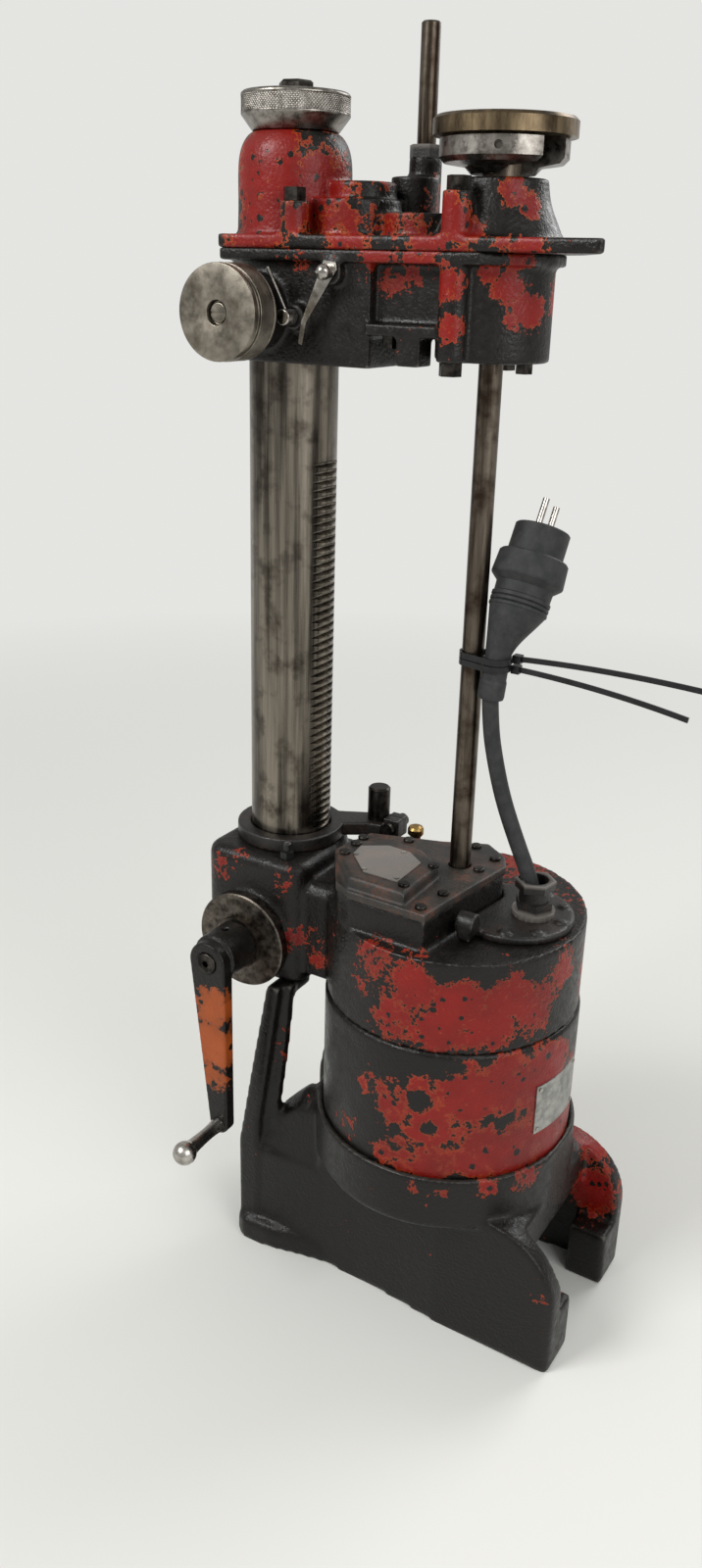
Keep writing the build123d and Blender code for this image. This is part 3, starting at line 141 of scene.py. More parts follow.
def lay_floor():
    """Plain pale floor that keeps the object's shadow and fades into the pale surroundings far off."""
    half = 6.0
    mesh = bpy.data.meshes.new("floor")
    mesh.from_pydata([(-half, -half, 0), (half, -half, 0), (half, half, 0), (-half, half, 0)], [],
                     [(0, 1, 2, 3)])
    floor = bpy.data.objects.new("floor", mesh)
    bpy.context.scene.collection.objects.link(floor)
    material, tree, shader, place = new_material("pale_floor")
    shader.inputs["Base Color"].default_value = linear("#dededa")
    shader.inputs["Roughness"].default_value = 0.85
    far = add(tree, "ShaderNodeVectorMath", {0: place}, operation="LENGTH")
    fade = add(tree, "ShaderNodeMapRange",
               {"Value": far.outputs["Value"], "From Min": 500.0, "From Max": 2200.0})
    pale = add(tree, "ShaderNodeEmission", {"Color": linear(PALE), "Strength": PALE_SEEN})
    blend = add(tree, "ShaderNodeMixShader", {0: fade.outputs[0], 1: shader.outputs[0], 2: pale.outputs[0]})
    tree.links.new(blend.outputs[0], tree.nodes["Material Output"].inputs["Surface"])
    floor.data.materials.append(material)


# ======== surfaces on grids ========
SHARP_DEGREES = 60


def quads_round(rows, columns):
    """Quads between neighbours of a grid whose last column meets its first."""
    index = np.arange(rows * columns).reshape(rows, columns)
    index = np.hstack([index, index[:, :1]])
    return np.stack([index[:-1, :-1], index[:-1, 1:], index[1:, 1:], index[1:, :-1]], -1).reshape(-1, 4)


def piece(name, grid, material, body, node):
    """One object from a grid of points in mm, closed round its columns, that stands for a CAD node.

    Points that meet at the poles are merged, and edges over SHARP_DEGREES stay crisp.
    """
    mesh = bpy.data.meshes.new(name)
    mesh.from_pydata((grid.reshape(-1, 3) * MM).tolist(), [], quads_round(*grid.shape[:2]).tolist())
    tidy = bmesh.new()
    tidy.from_mesh(mesh)
    bmesh.ops.remove_doubles(tidy, verts=tidy.verts, dist=2e-6)
    bmesh.ops.dissolve_degenerate(tidy, edges=tidy.edges, dist=1e-6)
    bmesh.ops.recalc_face_normals(tidy, faces=tidy.faces)
    tidy.to_mesh(mesh)
    tidy.free()
    mesh.shade_smooth()
    mesh.set_sharp_from_angle(angle=radians(SHARP_DEGREES))
    thing = bpy.data.objects.new(name, mesh)
    bpy.context.scene.collection.objects.link(thing)
    dress(thing, material)
    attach(thing, body)
    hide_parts(node)
    return thing


def dress(thing, material):
    """Give an object one material."""
    thing.data.materials.clear()
    thing.data.materials.append(material)


def eased(profile, size):
    """A profile with each corner between its ends cut back by size and rounded through one more point."""
    profile = np.array(profile, float)
    out = [profile[0]]
    for before, at, after in zip(profile, profile[1:], profile[2:]):
        to_before, to_after = before - at, after - at
        back = min(size, 0.45 * np.linalg.norm(to_before), 0.45 * np.linalg.norm(to_after))
        start = at + to_before / np.linalg.norm(to_before) * back
        end = at + to_after / np.linalg.norm(to_after) * back
        out += [start, (start + end) / 4 + at / 2, end]
    out.append(profile[-1])
    return np.array(out)


def divided(profile, step, low, high):
    """A profile with more points, no further apart than step, where it runs between two heights."""
    out = [profile[0]]
    for start, end in zip(profile, profile[1:]):
        crosses = max(start[1], end[1]) > low and min(start[1], end[1]) < high
        long = abs(end[1] - start[1]) > 2.0
        count = int(np.ceil(np.linalg.norm(end - start) / step)) if crosses and long else 1
        out += [start + (end - start) * k / count for k in range(1, count + 1)]
    return np.array(out)


def turned(profile, centre, axis, steps, relief):
    """Turned surface: (radius, height) points carried round an axis.

    relief(angle, height) adds to the radius.
    """
    axis = np.array(axis, float) / np.linalg.norm(axis)
    side = np.cross(axis, (0.0, 1.0, 0.0)) if abs(axis[1]) < 0.9 else np.array((1.0, 0.0, 0.0))
    side /= np.linalg.norm(side)
    other = np.cross(axis, side)
    angle = np.linspace(0, 2 * pi, steps, endpoint=False)[None, :]
    radius = profile[:, :1] + relief(angle, profile[:, 1:])
    grid = (np.array(centre, float) + profile[:, 1, None, None] * axis
            + radius[..., None] * (np.cos(angle)[..., None] * side + np.sin(angle)[..., None] * other))
    return grid


def knurl(count, pitch, depth, low, high):
    """Relief of a knurled band: the lower of two crossing saw waves, cut between two heights."""
    def relief(angle, height):
        across = count * angle / (2 * pi)
        along = height / pitch
        waves = [np.abs(2 * ((across + way * along) % 1.0) - 1.0) for way in (1, -1)]
        inside = (height > low) & (height < high)
        return np.where(inside, depth * (np.minimum(*waves) - 1.0), 0.0)
    return relief


# ======== materials ========
def new_material(name):
    """An empty material: its tree, its shader and the object's own coordinates in millimetres."""
    material = bpy.data.materials.new(name)
    material.use_nodes = True
    tree = material.node_tree
    shader = tree.nodes["Principled BSDF"]
    coordinates = add(tree, "ShaderNodeTexCoord")
    place = add(tree, "ShaderNodeVectorMath", {0: coordinates.outputs["Object"], "Scale": 1 / MM},
                operation="SCALE")
    return material, tree, shader, place.outputs[0]


def bump(tree, shader, height, distance_mm):
    """Bump from a height of 0 to 1 that stands for a depth in mm."""
    node = add(tree, "ShaderNodeBump", {"Height": height, "Distance": distance_mm * MM, "Strength": 1.0})
    tree.links.new(node.outputs[0], shader.inputs["Normal"])


def zone_field(tree, place, zones):
    """Highest of some soft balls: a zone is (x, y, z, radius, strength).

    It has its full strength out to 0.35 of its radius and none past the radius.
    """
    total = None
    for x, y, z, radius, strength in zones:
        gap = add(tree, "ShaderNodeVectorMath", {0: place, 1: (x, y, z)}, operation="DISTANCE")
        ball = add(tree, "ShaderNodeMapRange", {"Value": gap.outputs["Value"], "From Min": radius * 0.35,
                                                "From Max": radius, "To Min": strength, "To Max": 0.0})
        total = ball.outputs[0] if total is None else add(
            tree, "ShaderNodeMath", {0: total, 1: ball.outputs[0]}, operation="MAXIMUM").outputs[0]
    return total


def enamel(name, zones, bare, chip_mm=7.0, speckle=0.6, pit_mm=9.0, red="#7d120b", hot="#93371a",
           dark="#070605", grime=0.35):
    """Red machine enamel on cast iron, brushed on over black filler, chipped and wiped with oil for years.

    A zone's strength says how much paint is left: 0.6 nearly all, 0.35 half, 0 only specks. Noise at three
    sizes breaks it up, round pits are knocked out of what is left, and the paint goes orange and thin at
    the borders. Bare zones take paint away and lay an oil film over it.
    """
    material, tree, shader, place = new_material(name)
    wide = add(tree, "ShaderNodeTexNoise",
               {"Vector": place, "Scale": 1 / 34, "Detail": 3.0, "Roughness": 0.6})
    chips = add(tree, "ShaderNodeTexNoise",
                {"Vector": place, "Scale": 1 / chip_mm, "Detail": 4.0, "Roughness": 0.55, "Distortion": 0.3})
    fine = add(tree, "ShaderNodeTexNoise",
               {"Vector": place, "Scale": 1 / 2.2, "Detail": 2.0, "Roughness": 0.5})
    # paint left: the zones, less the bare places, broken up by wide, chip and fine noise
    wiped = zone_field(tree, place, bare)
    field = add(tree, "ShaderNodeMath", {0: zone_field(tree, place, zones), 1: wiped}, operation="SUBTRACT")
    rough = add(tree, "ShaderNodeMath", {0: wide.outputs["Fac"], 1: 0.6, 2: field.outputs[0]},
                operation="MULTIPLY_ADD")
    rougher = add(tree, "ShaderNodeMath", {0: chips.outputs["Fac"], 1: 1.0, 2: rough.outputs[0]},
                  operation="MULTIPLY_ADD")
    roughest = add(tree, "ShaderNodeMath", {0: fine.outputs["Fac"], 1: speckle, 2: rougher.outputs[0]},
                   operation="MULTIPLY_ADD")
    # the three noises at their means, and the zone strength at which half of the paint is left
    level = 0.3 + 0.5 + speckle / 2 + 0.32
    # pits: ragged blobs of many sizes, in about half of the cells
    ragged = add(tree, "ShaderNodeVectorMath", {0: fine.outputs["Color"], 1: (3.0, 3.0, 3.0), 2: place},
                 operation="MULTIPLY_ADD")
    cells = add(tree, "ShaderNodeTexVoronoi", {"Vector": ragged.outputs[0], "Scale": 1 / pit_mm})
    lot = add(tree, "ShaderNodeSeparateColor", {"Color": cells.outputs["Color"]})
    size = add(tree, "ShaderNodeMapRange", {"Value": lot.outputs[0], "From Min": 0.45, "To Max": 0.4})
    pit = add(tree, "ShaderNodeMath", {0: size.outputs[0], 1: cells.outputs["Distance"]},
              operation="SUBTRACT")
    pit_loss = add(tree, "ShaderNodeMapRange",
                   {"Value": pit.outputs[0], "From Min": -0.04, "From Max": 0.02, "To Max": 0.55})
    left = add(tree, "ShaderNodeMath", {0: roughest.outputs[0], 1: pit_loss.outputs[0]},
               operation="SUBTRACT")
    paint = add(tree, "ShaderNodeMapRange", {"Value": left.outputs[0], "From Min": level - 0.02,
                                             "From Max": level + 0.02})
    border = add(tree, "ShaderNodeMapRange",
                 {"Value": left.outputs[0], "From Min": level, "From Max": level + 0.16})
    tone = add(tree, "ShaderNodeMix", {"Factor": border.outputs[0], "A": linear(hot), "B": linear(red)},
               data_type="RGBA")
    dirt = add(tree, "ShaderNodeMapRange", {"Value": wide.outputs["Fac"], "From Min": 0.3, "From Max": 0.62,
                                            "To Min": grime, "To Max": 0.0})
    film = add(tree, "ShaderNodeMath", {0: wiped, 1: 0.9, 2: dirt.outputs[0]}, operation="MULTIPLY_ADD")
    dirty = add(tree, "ShaderNodeMix",
                {"Factor": film.outputs[0], "A": tone.outputs["Result"], "B": linear(dark)},
                data_type="RGBA")
    base = add(tree, "ShaderNodeMix",
               {"Factor": chips.outputs["Fac"], "A": linear(dark), "B": linear("#191613")},
               data_type="RGBA")
    colour = add(tree, "ShaderNodeMix", {"Factor": paint.outputs[0], "A": base.outputs["Result"],
                                         "B": dirty.outputs["Result"]}, data_type="RGBA")
    # rubbed edges show grey iron
    shape = add(tree, "ShaderNodeNewGeometry")
    edge = add(tree, "ShaderNodeMapRange",
               {"Value": shape.outputs["Pointiness"], "From Min": 0.54, "From Max": 0.6, "To Max": 1.1})
    worn = add(tree, "ShaderNodeMath", {0: edge.outputs[0], 1: chips.outputs["Fac"]}, operation="MULTIPLY")
    rubbed = add(tree, "ShaderNodeMix", {"Factor": worn.outputs[0], "A": colour.outputs["Result"],
                                         "B": linear("#8a847c")}, data_type="RGBA")
    tree.links.new(rubbed.outputs["Result"], shader.inputs["Base Color"])
    gloss = add(tree, "ShaderNodeMapRange",
                {"Value": chips.outputs["Fac"], "From Min": 0.3, "From Max": 0.7,
                 "To Min": 0.26, "To Max": 0.5})
    tree.links.new(gloss.outputs[0], shader.inputs["Roughness"])
    shader.inputs["Specular IOR Level"].default_value = 0.3
    # sand-cast grain under the paint, and the step at a chip's border
    grain = add(tree, "ShaderNodeMath", {0: chips.outputs["Fac"], 1: 0.6, 2: fine.outputs["Fac"]},
                operation="MULTIPLY_ADD")
    step = add(tree, "ShaderNodeMath", {0: paint.outputs[0], 1: 0.4, 2: grain.outputs[0]},
               operation="MULTIPLY_ADD")
    bump(tree, shader, step.outputs[0], 0.45)
    return material


def oily_iron(name, dark="#0a0908", pale="#211e1b", rust="#3c2016", rust_share=0.3, rough=(0.3, 0.52)):
    """Black-filled cast iron soaked in oil: near black, with brown stains and grey rubbed edges."""
    material, tree, shader, place = new_material(name)
    wide = add(tree, "ShaderNodeTexNoise",
               {"Vector": place, "Scale": 1 / 22, "Detail": 5.0, "Roughness": 0.6})
    fine = add(tree, "ShaderNodeTexNoise",
               {"Vector": place, "Scale": 1 / 2.0, "Detail": 4.0, "Roughness": 0.65})
    share = add(tree, "ShaderNodeMapRange",
                {"Value": wide.outputs["Fac"], "From Min": 0.35, "From Max": 0.68})
    base = add(tree, "ShaderNodeMix", {"Factor": share.outputs[0], "A": linear(dark), "B": linear(pale)},
               data_type="RGBA")
    spots = add(tree, "ShaderNodeMath", {0: fine.outputs["Fac"], 1: wide.outputs["Fac"]},
                operation="MULTIPLY")
    rusty = add(tree, "ShaderNodeMapRange", {"Value": spots.outputs[0], "From Min": 0.26, "From Max": 0.36,
                                             "To Max": rust_share})
    brown = add(tree, "ShaderNodeMix",
                {"Factor": rusty.outputs[0], "A": base.outputs["Result"], "B": linear(rust)},
                data_type="RGBA")
    shape = add(tree, "ShaderNodeNewGeometry")
    edge = add(tree, "ShaderNodeMapRange",
               {"Value": shape.outputs["Pointiness"], "From Min": 0.54, "From Max": 0.62, "To Max": 0.55})
    rubbed = add(tree, "ShaderNodeMix", {"Factor": edge.outputs[0], "A": brown.outputs["Result"],
                                         "B": linear("#8e8882")}, data_type="RGBA")
    tree.links.new(rubbed.outputs["Result"], shader.inputs["Base Color"])
    gloss = add(tree, "ShaderNodeMapRange", {"Value": fine.outputs["Fac"], "From Min": 0.3, "From Max": 0.7,
                                             "To Min": rough[0], "To Max": rough[1]})
    tree.links.new(gloss.outputs[0], shader.inputs["Roughness"])
    bump(tree, shader, fine.outputs["Fac"], 0.35)
    return material


def steel(name, light="#8f8a83", dark="#4a4540", stain="#3a2f26", rough=0.3, streak=(1.0, 1.0, 0.06),
          streak_mm=6.0, stain_from=0.6):
    """Turned, ground or wiped metal, oiled and stained: streaks run the way it was worked."""
    material, tree, shader, place = new_material(name)
    drawn = add(tree, "ShaderNodeVectorMath", {0: place, 1: streak}, operation="MULTIPLY")
    lines = add(tree, "ShaderNodeTexNoise",
                {"Vector": drawn.outputs[0], "Scale": 1 / streak_mm, "Detail": 5.0, "Roughness": 0.65})
    blots = add(tree, "ShaderNodeTexNoise",
                {"Vector": place, "Scale": 1 / 18, "Detail": 5.0, "Roughness": 0.6})
    fine = add(tree, "ShaderNodeTexNoise", {"Vector": place, "Scale": 1 / 0.8, "Detail": 2.0})
    share = add(tree, "ShaderNodeMapRange",
                {"Value": lines.outputs["Fac"], "From Min": 0.36, "From Max": 0.62})
    base = add(tree, "ShaderNodeMix", {"Factor": share.outputs[0], "A": linear(dark), "B": linear(light)},
               data_type="RGBA")
    stained = add(tree, "ShaderNodeMapRange", {"Value": blots.outputs["Fac"], "From Min": stain_from - 0.12,
                                               "From Max": stain_from + 0.1, "To Max": 0.85})
    colour = add(tree, "ShaderNodeMix", {"Factor": stained.outputs[0], "A": base.outputs["Result"],
                                         "B": linear(stain)}, data_type="RGBA")
    tree.links.new(colour.outputs["Result"], shader.inputs["Base Color"])
    gloss = add(tree, "ShaderNodeMapRange",
                {"Value": lines.outputs["Fac"], "From Min": 0.3, "From Max": 0.7,
                 "To Min": rough - 0.07, "To Max": rough + 0.12})
    tree.links.new(gloss.outputs[0], shader.inputs["Roughness"])
    shader.inputs["Metallic"].default_value = 1.0
    height = add(tree, "ShaderNodeMath", {0: lines.outputs["Fac"], 1: 0.5, 2: fine.outputs["Fac"]},
                 operation="MULTIPLY_ADD")
    bump(tree, shader, height.outputs[0], 0.05)
    return material


def black_rubber(name, tone="#232323", worn="#3b3a38", rough=0.62):
    """Moulded rubber or nylon: nearly black, and greyer in blots where it is handled."""
    material, tree, shader, place = new_material(name)
    blots = add(tree, "ShaderNodeTexNoise",
                {"Vector": place, "Scale": 1 / 9, "Detail": 6.0, "Roughness": 0.65})
    fine = add(tree, "ShaderNodeTexNoise", {"Vector": place, "Scale": 1 / 0.9, "Detail": 2.0})
    share = add(tree, "ShaderNodeMapRange",
                {"Value": blots.outputs["Fac"], "From Min": 0.4, "From Max": 0.68})
    colour = add(tree, "ShaderNodeMix", {"Factor": share.outputs[0], "A": linear(tone), "B": linear(worn)},
                 data_type="RGBA")
    tree.links.new(colour.outputs["Result"], shader.inputs["Base Color"])
    shader.inputs["Roughness"].default_value = rough
    shader.inputs["Specular IOR Level"].default_value = 0.35
    bump(tree, shader, fine.outputs["Fac"], 0.12)
    return material


# ======== castings ========
def cast_copy(name, node, voxel, passes, material, body):
    """Sand-cast look: a merged copy of a CAD shell, remeshed on a fine lattice and smoothed.

    Each pass moves every vertex half of the way to its neighbours' mean, so the corners take radii.
    """
    source = NODES[node]
    mesh = source.data.copy()
    mesh.name = name
    tidy = bmesh.new()
    tidy.from_mesh(mesh)
    bmesh.ops.remove_doubles(tidy, verts=tidy.verts, dist=1e-6)
    tidy.to_mesh(mesh)
    tidy.free()
    thing = bpy.data.objects.new(name, mesh)
    bpy.context.scene.collection.objects.link(thing)
    remesh = thing.modifiers.new("lattice", "REMESH")
    remesh.mode = "VOXEL"
    remesh.voxel_size = voxel * MM
    smooth = thing.modifiers.new("rounding", "SMOOTH")
    smooth.factor = 0.5
    smooth.iterations = passes
    baked = bpy.data.meshes.new_from_object(thing.evaluated_get(bpy.context.evaluated_depsgraph_get()))
    thing.modifiers.clear()
    thing.data = baked
    baked.name = name
    baked.shade_smooth()
    dress(thing, material)
    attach(thing, body)
    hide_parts(node)
    return thing


FOOT_ZONES = [(79, -110, 144, 13, 0.45), (97, -108, 117, 20, 0.5), (129, -106, 106, 14, 0.4),
              (39, -108, 142, 14, 0.35), (48, -97, 147, 12, 0.42), (78, -75, 150, 14, 0.45),
              (97, -48, 153, 22, 0.5), (124, -70, 70, 14, 0.4), (112, 60, 72, 34, 0.62),
              (100, 70, 110, 30, 0.5), (-100, -40, 200, 46, 0.4), (27, -104, 147, 10, 0.4),
              (0, 105, 140, 30, 0.4), (-40, 100, 120, 26, 0.4)]
FOOT_BARE = [(0, 0, 0, 60, 0.2)]
SHELL_ZONES = [(60, -84, 231, 40, 0.62), (81, -63, 236, 40, 0.66), (98, -30, 232, 44, 0.66),
               (69, -77, 180, 40, 0.58), (89, -52, 175, 44, 0.62), (102, -10, 185, 70, 0.64),
               (6, -103, 213, 32, 0.46), (28, -99, 232, 24, 0.4), (36, -96, 200, 32, 0.5),
               (8, -103, 172, 30, 0.46), (38, -96, 165, 32, 0.56), (-14, -102, 223, 22, 0.34),
               (-40, -95, 171, 26, 0.28), (60, 80, 200, 90, 0.56), (-50, 85, 200, 80, 0.46)]
SHELL_BARE = [(26, -100, 222, 12, 0.5), (33, -96, 200, 9, 0.45), (-48, -90, 240, 30, 0.3),
              (52, -86, 152, 14, 0.3)]
DRUM_ZONES = [(17, -101, 315, 34, 0.58), (50, -90, 308, 38, 0.64), (77, -68, 312, 36, 0.62),
              (4, -102, 285, 32, 0.5), (39, -95, 283, 34, 0.62), (68, -77, 287, 34, 0.62),
              (92, -45, 297, 34, 0.56), (-18, -101, 330, 28, 0.44), (98, -20, 318, 26, 0.46),
              (-30, -96, 300, 24, 0.32), (-95, -58, 279, 16, 0.62), (-111, -58, 295, 18, 0.5),
              (-98, -36, 300, 26, 0.42), (-182, -58, 340, 18, 0.38), (-121, -58, 343, 16, 0.3),
              (-168, -58, 356, 14, 0.3), (0, 100, 300, 90, 0.5), (90, 60, 300, 60, 0.5),
              (-150, 50, 300, 50, 0.36)]
DRUM_BARE = [(40, -95, 338, 20, 0.5), (66, -76, 338, 20, 0.45), (92, -50, 338, 22, 0.45),
             (-45, -90, 280, 26, 0.3), (98, -10, 285, 24, 0.2)]
HEAD_ZONES = [(-57, -33, 776, 16, 0.56), (-43, -33, 779, 12, 0.5), (-11, -48, 778, 16, 0.62),
              (-6, -48, 752, 14, 0.5), (23, -29, 776, 15, 0.62), (32, -18, 763, 17, 0.66),
              (26, -27, 756, 10, 0.5), (12, -35, 786, 12, 0.5), (-60, -48, 791, 24, 0.5),
              (-30, -48, 791, 22, 0.5), (-120, -42, 790, 14, 0.3), (30, -30, 792, 16, 0.5),
              (0, 46, 770, 40, 0.5), (-80, 40, 775, 36, 0.4), (36, 14, 770, 24, 0.4)]
HEAD_BARE = [(10, -36, 745, 12, 0.5), (-100, -44, 760, 24, 0.3), (-45, -33, 752, 14, 0.4)]
COVER_ZONES = [(-154, -38, 856, 40, 0.72), (-150, -37, 835, 44, 0.78), (-154, -38, 812, 40, 0.7),
               (-122, -18, 830, 40, 0.68), (-154, 0, 850, 44, 0.5), (-154, 38, 830, 46, 0.6),
               (-121, -50, 815, 16, 0.66), (-9, -50, 815, 18, 0.72), (20, -25, 829, 14, 0.66),
               (27, -17, 822, 13, 0.6), (-100, -30, 812, 24, 0.5), (-70, -26, 812, 24, 0.46),
               (-45, -34, 806, 24, 0.56), (0, -42, 804, 20, 0.62), (30, -44, 804, 22, 0.5),
               (60, -30, 804, 20, 0.46), (-80, -50, 800, 24, 0.5), (-20, -50, 800, 24, 0.6),
               (40, -48, 800, 22, 0.55), (-84, -4, 842, 20, 0.36), (-30, 40, 810, 60, 0.5)]
COVER_BARE = [(-62, -18, 830, 16, 0.3), (0, 0, 838, 22, 0.45), (70, -20, 800, 22, 0.3),
              (-125, -14, 812, 10, 0.3)]
PAINT_AT_ARM = [(-148, -115, 250, 30, 0.62), (-149, -115, 215, 32, 0.66), (-148, -115, 185, 20, 0.5)]

RED_SHELL = enamel("chipped_red_enamel_shell", SHELL_ZONES, SHELL_BARE, chip_mm=9.0, speckle=0.35,
                   pit_mm=8.0)
RED_DRUM = enamel("chipped_red_enamel_drum", DRUM_ZONES, DRUM_BARE, chip_mm=5.5, speckle=0.7, pit_mm=6.5)
RED_HEAD = enamel("chipped_red_enamel_head", HEAD_ZONES, HEAD_BARE, chip_mm=5.0, speckle=0.7, pit_mm=7.0)
RED_COVER = enamel("chipped_red_enamel_cover", COVER_ZONES, COVER_BARE, chip_mm=5.5, speckle=0.6,
                   pit_mm=7.0, hot="#a4481f")
RED_FOOT = enamel("black_filled_foot_iron", FOOT_ZONES, FOOT_BARE, chip_mm=6.0, speckle=0.5, pit_mm=6.0)
ARM_PAINT = enamel("chipped_orange_arm_paint", PAINT_AT_ARM, [(-148, -115, 288, 20, 0.5)], chip_mm=9.0,
                   speckle=0.5, pit_mm=12.0, red="#9c4a1c", hot="#7a3a1a")
IRON = oily_iron("oily_cast_iron")
BROWN_IRON = oily_iron("oily_iron_rust_edges", dark="#1a1815", pale="#37322c", rust="#6b331d",
                       rust_share=0.5, rough=(0.42, 0.6))
BAR_STEEL = steel("ground_bar_steel", light="#8a8276", dark="#3a3631", stain="#241d18", rough=0.24,
                  streak=(1, 1, 0.03), streak_mm=9.0, stain_from=0.62)
SHAFT_STEEL = steel("drawn_shaft_steel", light="#6f665b", dark="#3b332b", stain="#2b2018", rough=0.3,
                    streak=(1, 1, 0.05), stain_from=0.58)
DARK_STEEL = steel("blackened_steel", light="#4c4844", dark="#242220", stain="#161412", rough=0.36,
                   streak=(1, 1, 1))
BRIGHT_STEEL = steel("handled_bright_steel", light="#c4c0b9", dark="#8e8983", stain="#5d5852",
                     rough=0.2, streak=(1, 1, 1), streak_mm=12.0, stain_from=0.68)
KNURL_STEEL = steel("knurled_steel", light="#a29d96", dark="#6d6862", stain="#4a453f", rough=0.28,
                    streak=(1, 1, 1))
DISC_STEEL = steel("satin_dial_steel", light="#968f83", dark="#6f695f", stain="#4d4438", rough=0.36,
                   streak=(1, 1, 1), streak_mm=14.0, stain_from=0.62)
COLLAR_STEEL = steel("oiled_collar_steel", light="#6e675f", dark="#3a352f", stain="#201b17", rough=0.33,
                     streak=(1, 1, 1))
BRASS = steel("tarnished_brass_steel", light="#7d6d55", dark="#564938", stain="#3b3227", rough=0.3,
              streak=(1, 1, 0.2))
GOLD_BRASS = steel("wiped_brass", light="#b8985e", dark="#84683c", stain="#5a4426", rough=0.26,
                   streak=(1, 1, 1))
BRONZE = steel("bearing_bronze", light="#a8804a", dark="#77552e", stain="#4a3520", rough=0.32,
               streak=(1, 1, 1))
COPPER = steel("varnished_copper", light="#a85f34", dark="#6d3a1e", stain="#3a1f12", rough=0.35,
               streak=(1, 1, 1))
TIN_PLATE = steel("etched_aluminium_plate", light="#b0b0ac", dark="#8c8c88", stain="#5d5b56",
                  rough=0.42, streak=(1, 1, 1), stain_from=0.64)
RUBBER = black_rubber("moulded_black_rubber", tone="#222324", worn="#343434")
NYLON = black_rubber("black_nylon", tone="#0f0f10", worn="#1c1c1e", rough=0.28)

FINISH = {
    IRON: "guide_ring terminal_cover cable_gland oil_cup stop_rod_gland",
    BROWN_IRON: "gearbox_cover cover_plate",
    BAR_STEEL: "bar_tube",
    SHAFT_STEEL: "drive_shaft stop_rod spindle rotor stator_core spindle_gear idler_gear_a idler_gear_b "
                 "sleeve_gear coupling_gear feed_shaft pinion_shaft pinion_gear crank_shaft idler_pins "
                 "cutter_head cutter_bit motor_bearings head_bearings bar_bearings",
    DARK_STEEL: "foot_bolts ring_clamp_bolt stop_post cover_screws head_bolts knob_stud crank_screw",
    BRIGHT_STEEL: "crank_handle detent_pawl detent_spring detent_screws plate_rivets plug_pins",
    KNURL_STEEL: "centring_knob hand_wheel",
    DISC_STEEL: "dial dial_screw",
    COLLAR_STEEL: "crank_collar",
    BRASS: "wheel_rim",
    GOLD_BRASS: "plunger",
    BRONZE: "bronze_bushes",
    COPPER: "stator_windings",
    TIN_PLATE: "rating_plate",
    RUBBER: "cord plug_body",
    NYLON: "cable_ties",
    ARM_PAINT: "crank_arm",
}
for material, names in FINISH.items():
    for node in names.split():
        dress(NODES[node], material)

cast_copy("foot_shell", "foot_casting", 2.2, 6, RED_FOOT, "root")
cast_copy("motor_housing", "motor_shell", 2.2, 2, RED_SHELL, "root")
cast_copy("drum_and_guide", "frame_casting", 2.0, 4, RED_DRUM, "root")
cast_copy("head_gearcase", "head_case", 1.5, 4, RED_HEAD, "head")
cast_copy("head_top_cover", "head_cover", 1.4, 4, RED_COVER, "head")
cast_copy("gearbox_lid", "gearbox_cover", 1.1, 3, BROWN_IRON, "root")
cast_copy("terminal_lid", "terminal_cover", 1.4, 2, IRON, "root")
cast_copy("split_guide_ring", "guide_ring", 1.1, 2, IRON, "root")
cast_copy("tapered_crank_arm", "crank_arm", 1.0, 3, ARM_PAINT, "crank")

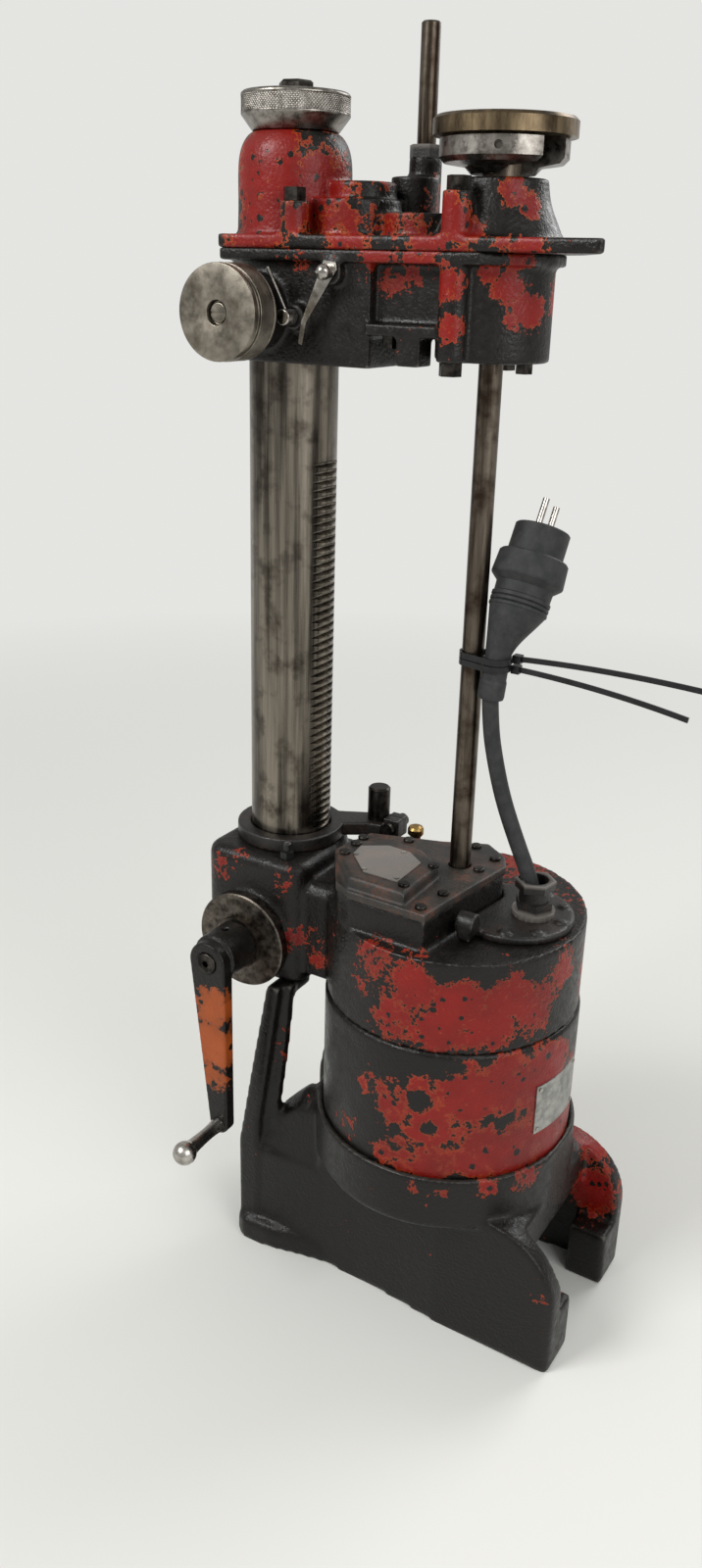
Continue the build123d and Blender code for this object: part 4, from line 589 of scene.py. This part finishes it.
# ======== knurled parts ========
# each knurl has a count of diamonds round, a pitch along and a depth, and runs over a band of heights
KNOB_DIAMONDS, KNOB_BAND = 105, (878.4, 888.2)
KNOB = eased([(0, 850), (8.8, 850), (8.8, 867.4), (29, 867.4), (36.5, 877), (36.5, 889.6), (34.9, 891),
              (0, 891)], 0.5)
piece("knurled_centring_knob",
      turned(divided(KNOB, 0.36, *KNOB_BAND), (BAR_X, 0, 0), (0, 0, 1), 8 * KNOB_DIAMONDS,
             knurl(KNOB_DIAMONDS, 2.2, 0.75, *KNOB_BAND)),
      KNURL_STEEL, "knob", "centring_knob")

DIAL_Z = 756.0
DIAL_DIAMONDS, DIAL_BAND = 126, (-82.0, -67.4)
DIAL = eased([(0, -85.2), (7.9, -85.2), (7.9, -90.4), (30.2, -90.4), (30.2, -85.6), (28.6, -85.6),
              (28.6, -83), (30.5, -83), (30.5, -66), (7, -66), (7, -47), (0, -47)], 0.5)
piece("knurled_dial",
      turned(divided(DIAL, 0.34, *DIAL_BAND), (BAR_X, 0, DIAL_Z), (0, 1, 0), 6 * DIAL_DIAMONDS,
             knurl(DIAL_DIAMONDS, 1.5, 0.5, *DIAL_BAND)),
      DISC_STEEL, "dial", "dial")

# ======== lead ========
CORD_R = 6.0
CORD_ROUTE = [(61, 3, 344), (61, 3, 361), (42.5, 1.8, 401), (31.5, -0.6, 430), (24.3, -2.7, 458),
              (19.6, -4.8, 484), (18.4, -6, 506.3)]


def lead():
    """The lead: a smooth spline through the same points as its solid, with a round bevel."""
    curve = bpy.data.curves.new("lead_cord", "CURVE")
    curve.dimensions = "3D"
    spline = curve.splines.new("NURBS")
    spline.points.add(len(CORD_ROUTE) - 1)
    for point, at in zip(spline.points, CORD_ROUTE):
        point.co = (at[0] * MM, at[1] * MM, at[2] * MM, 1)
    spline.order_u = 3
    spline.use_endpoint_u = True
    spline.resolution_u = 12
    curve.bevel_depth = CORD_R * MM
    curve.bevel_resolution = 8
    curve.use_fill_caps = True
    thing = bpy.data.objects.new("lead_cord", curve)
    bpy.context.scene.collection.objects.link(thing)
    dress(thing, RUBBER)
    return thing


cord = lead()
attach(cord, "root")
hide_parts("cord")

place_camera()
light_scene()
lay_floor()
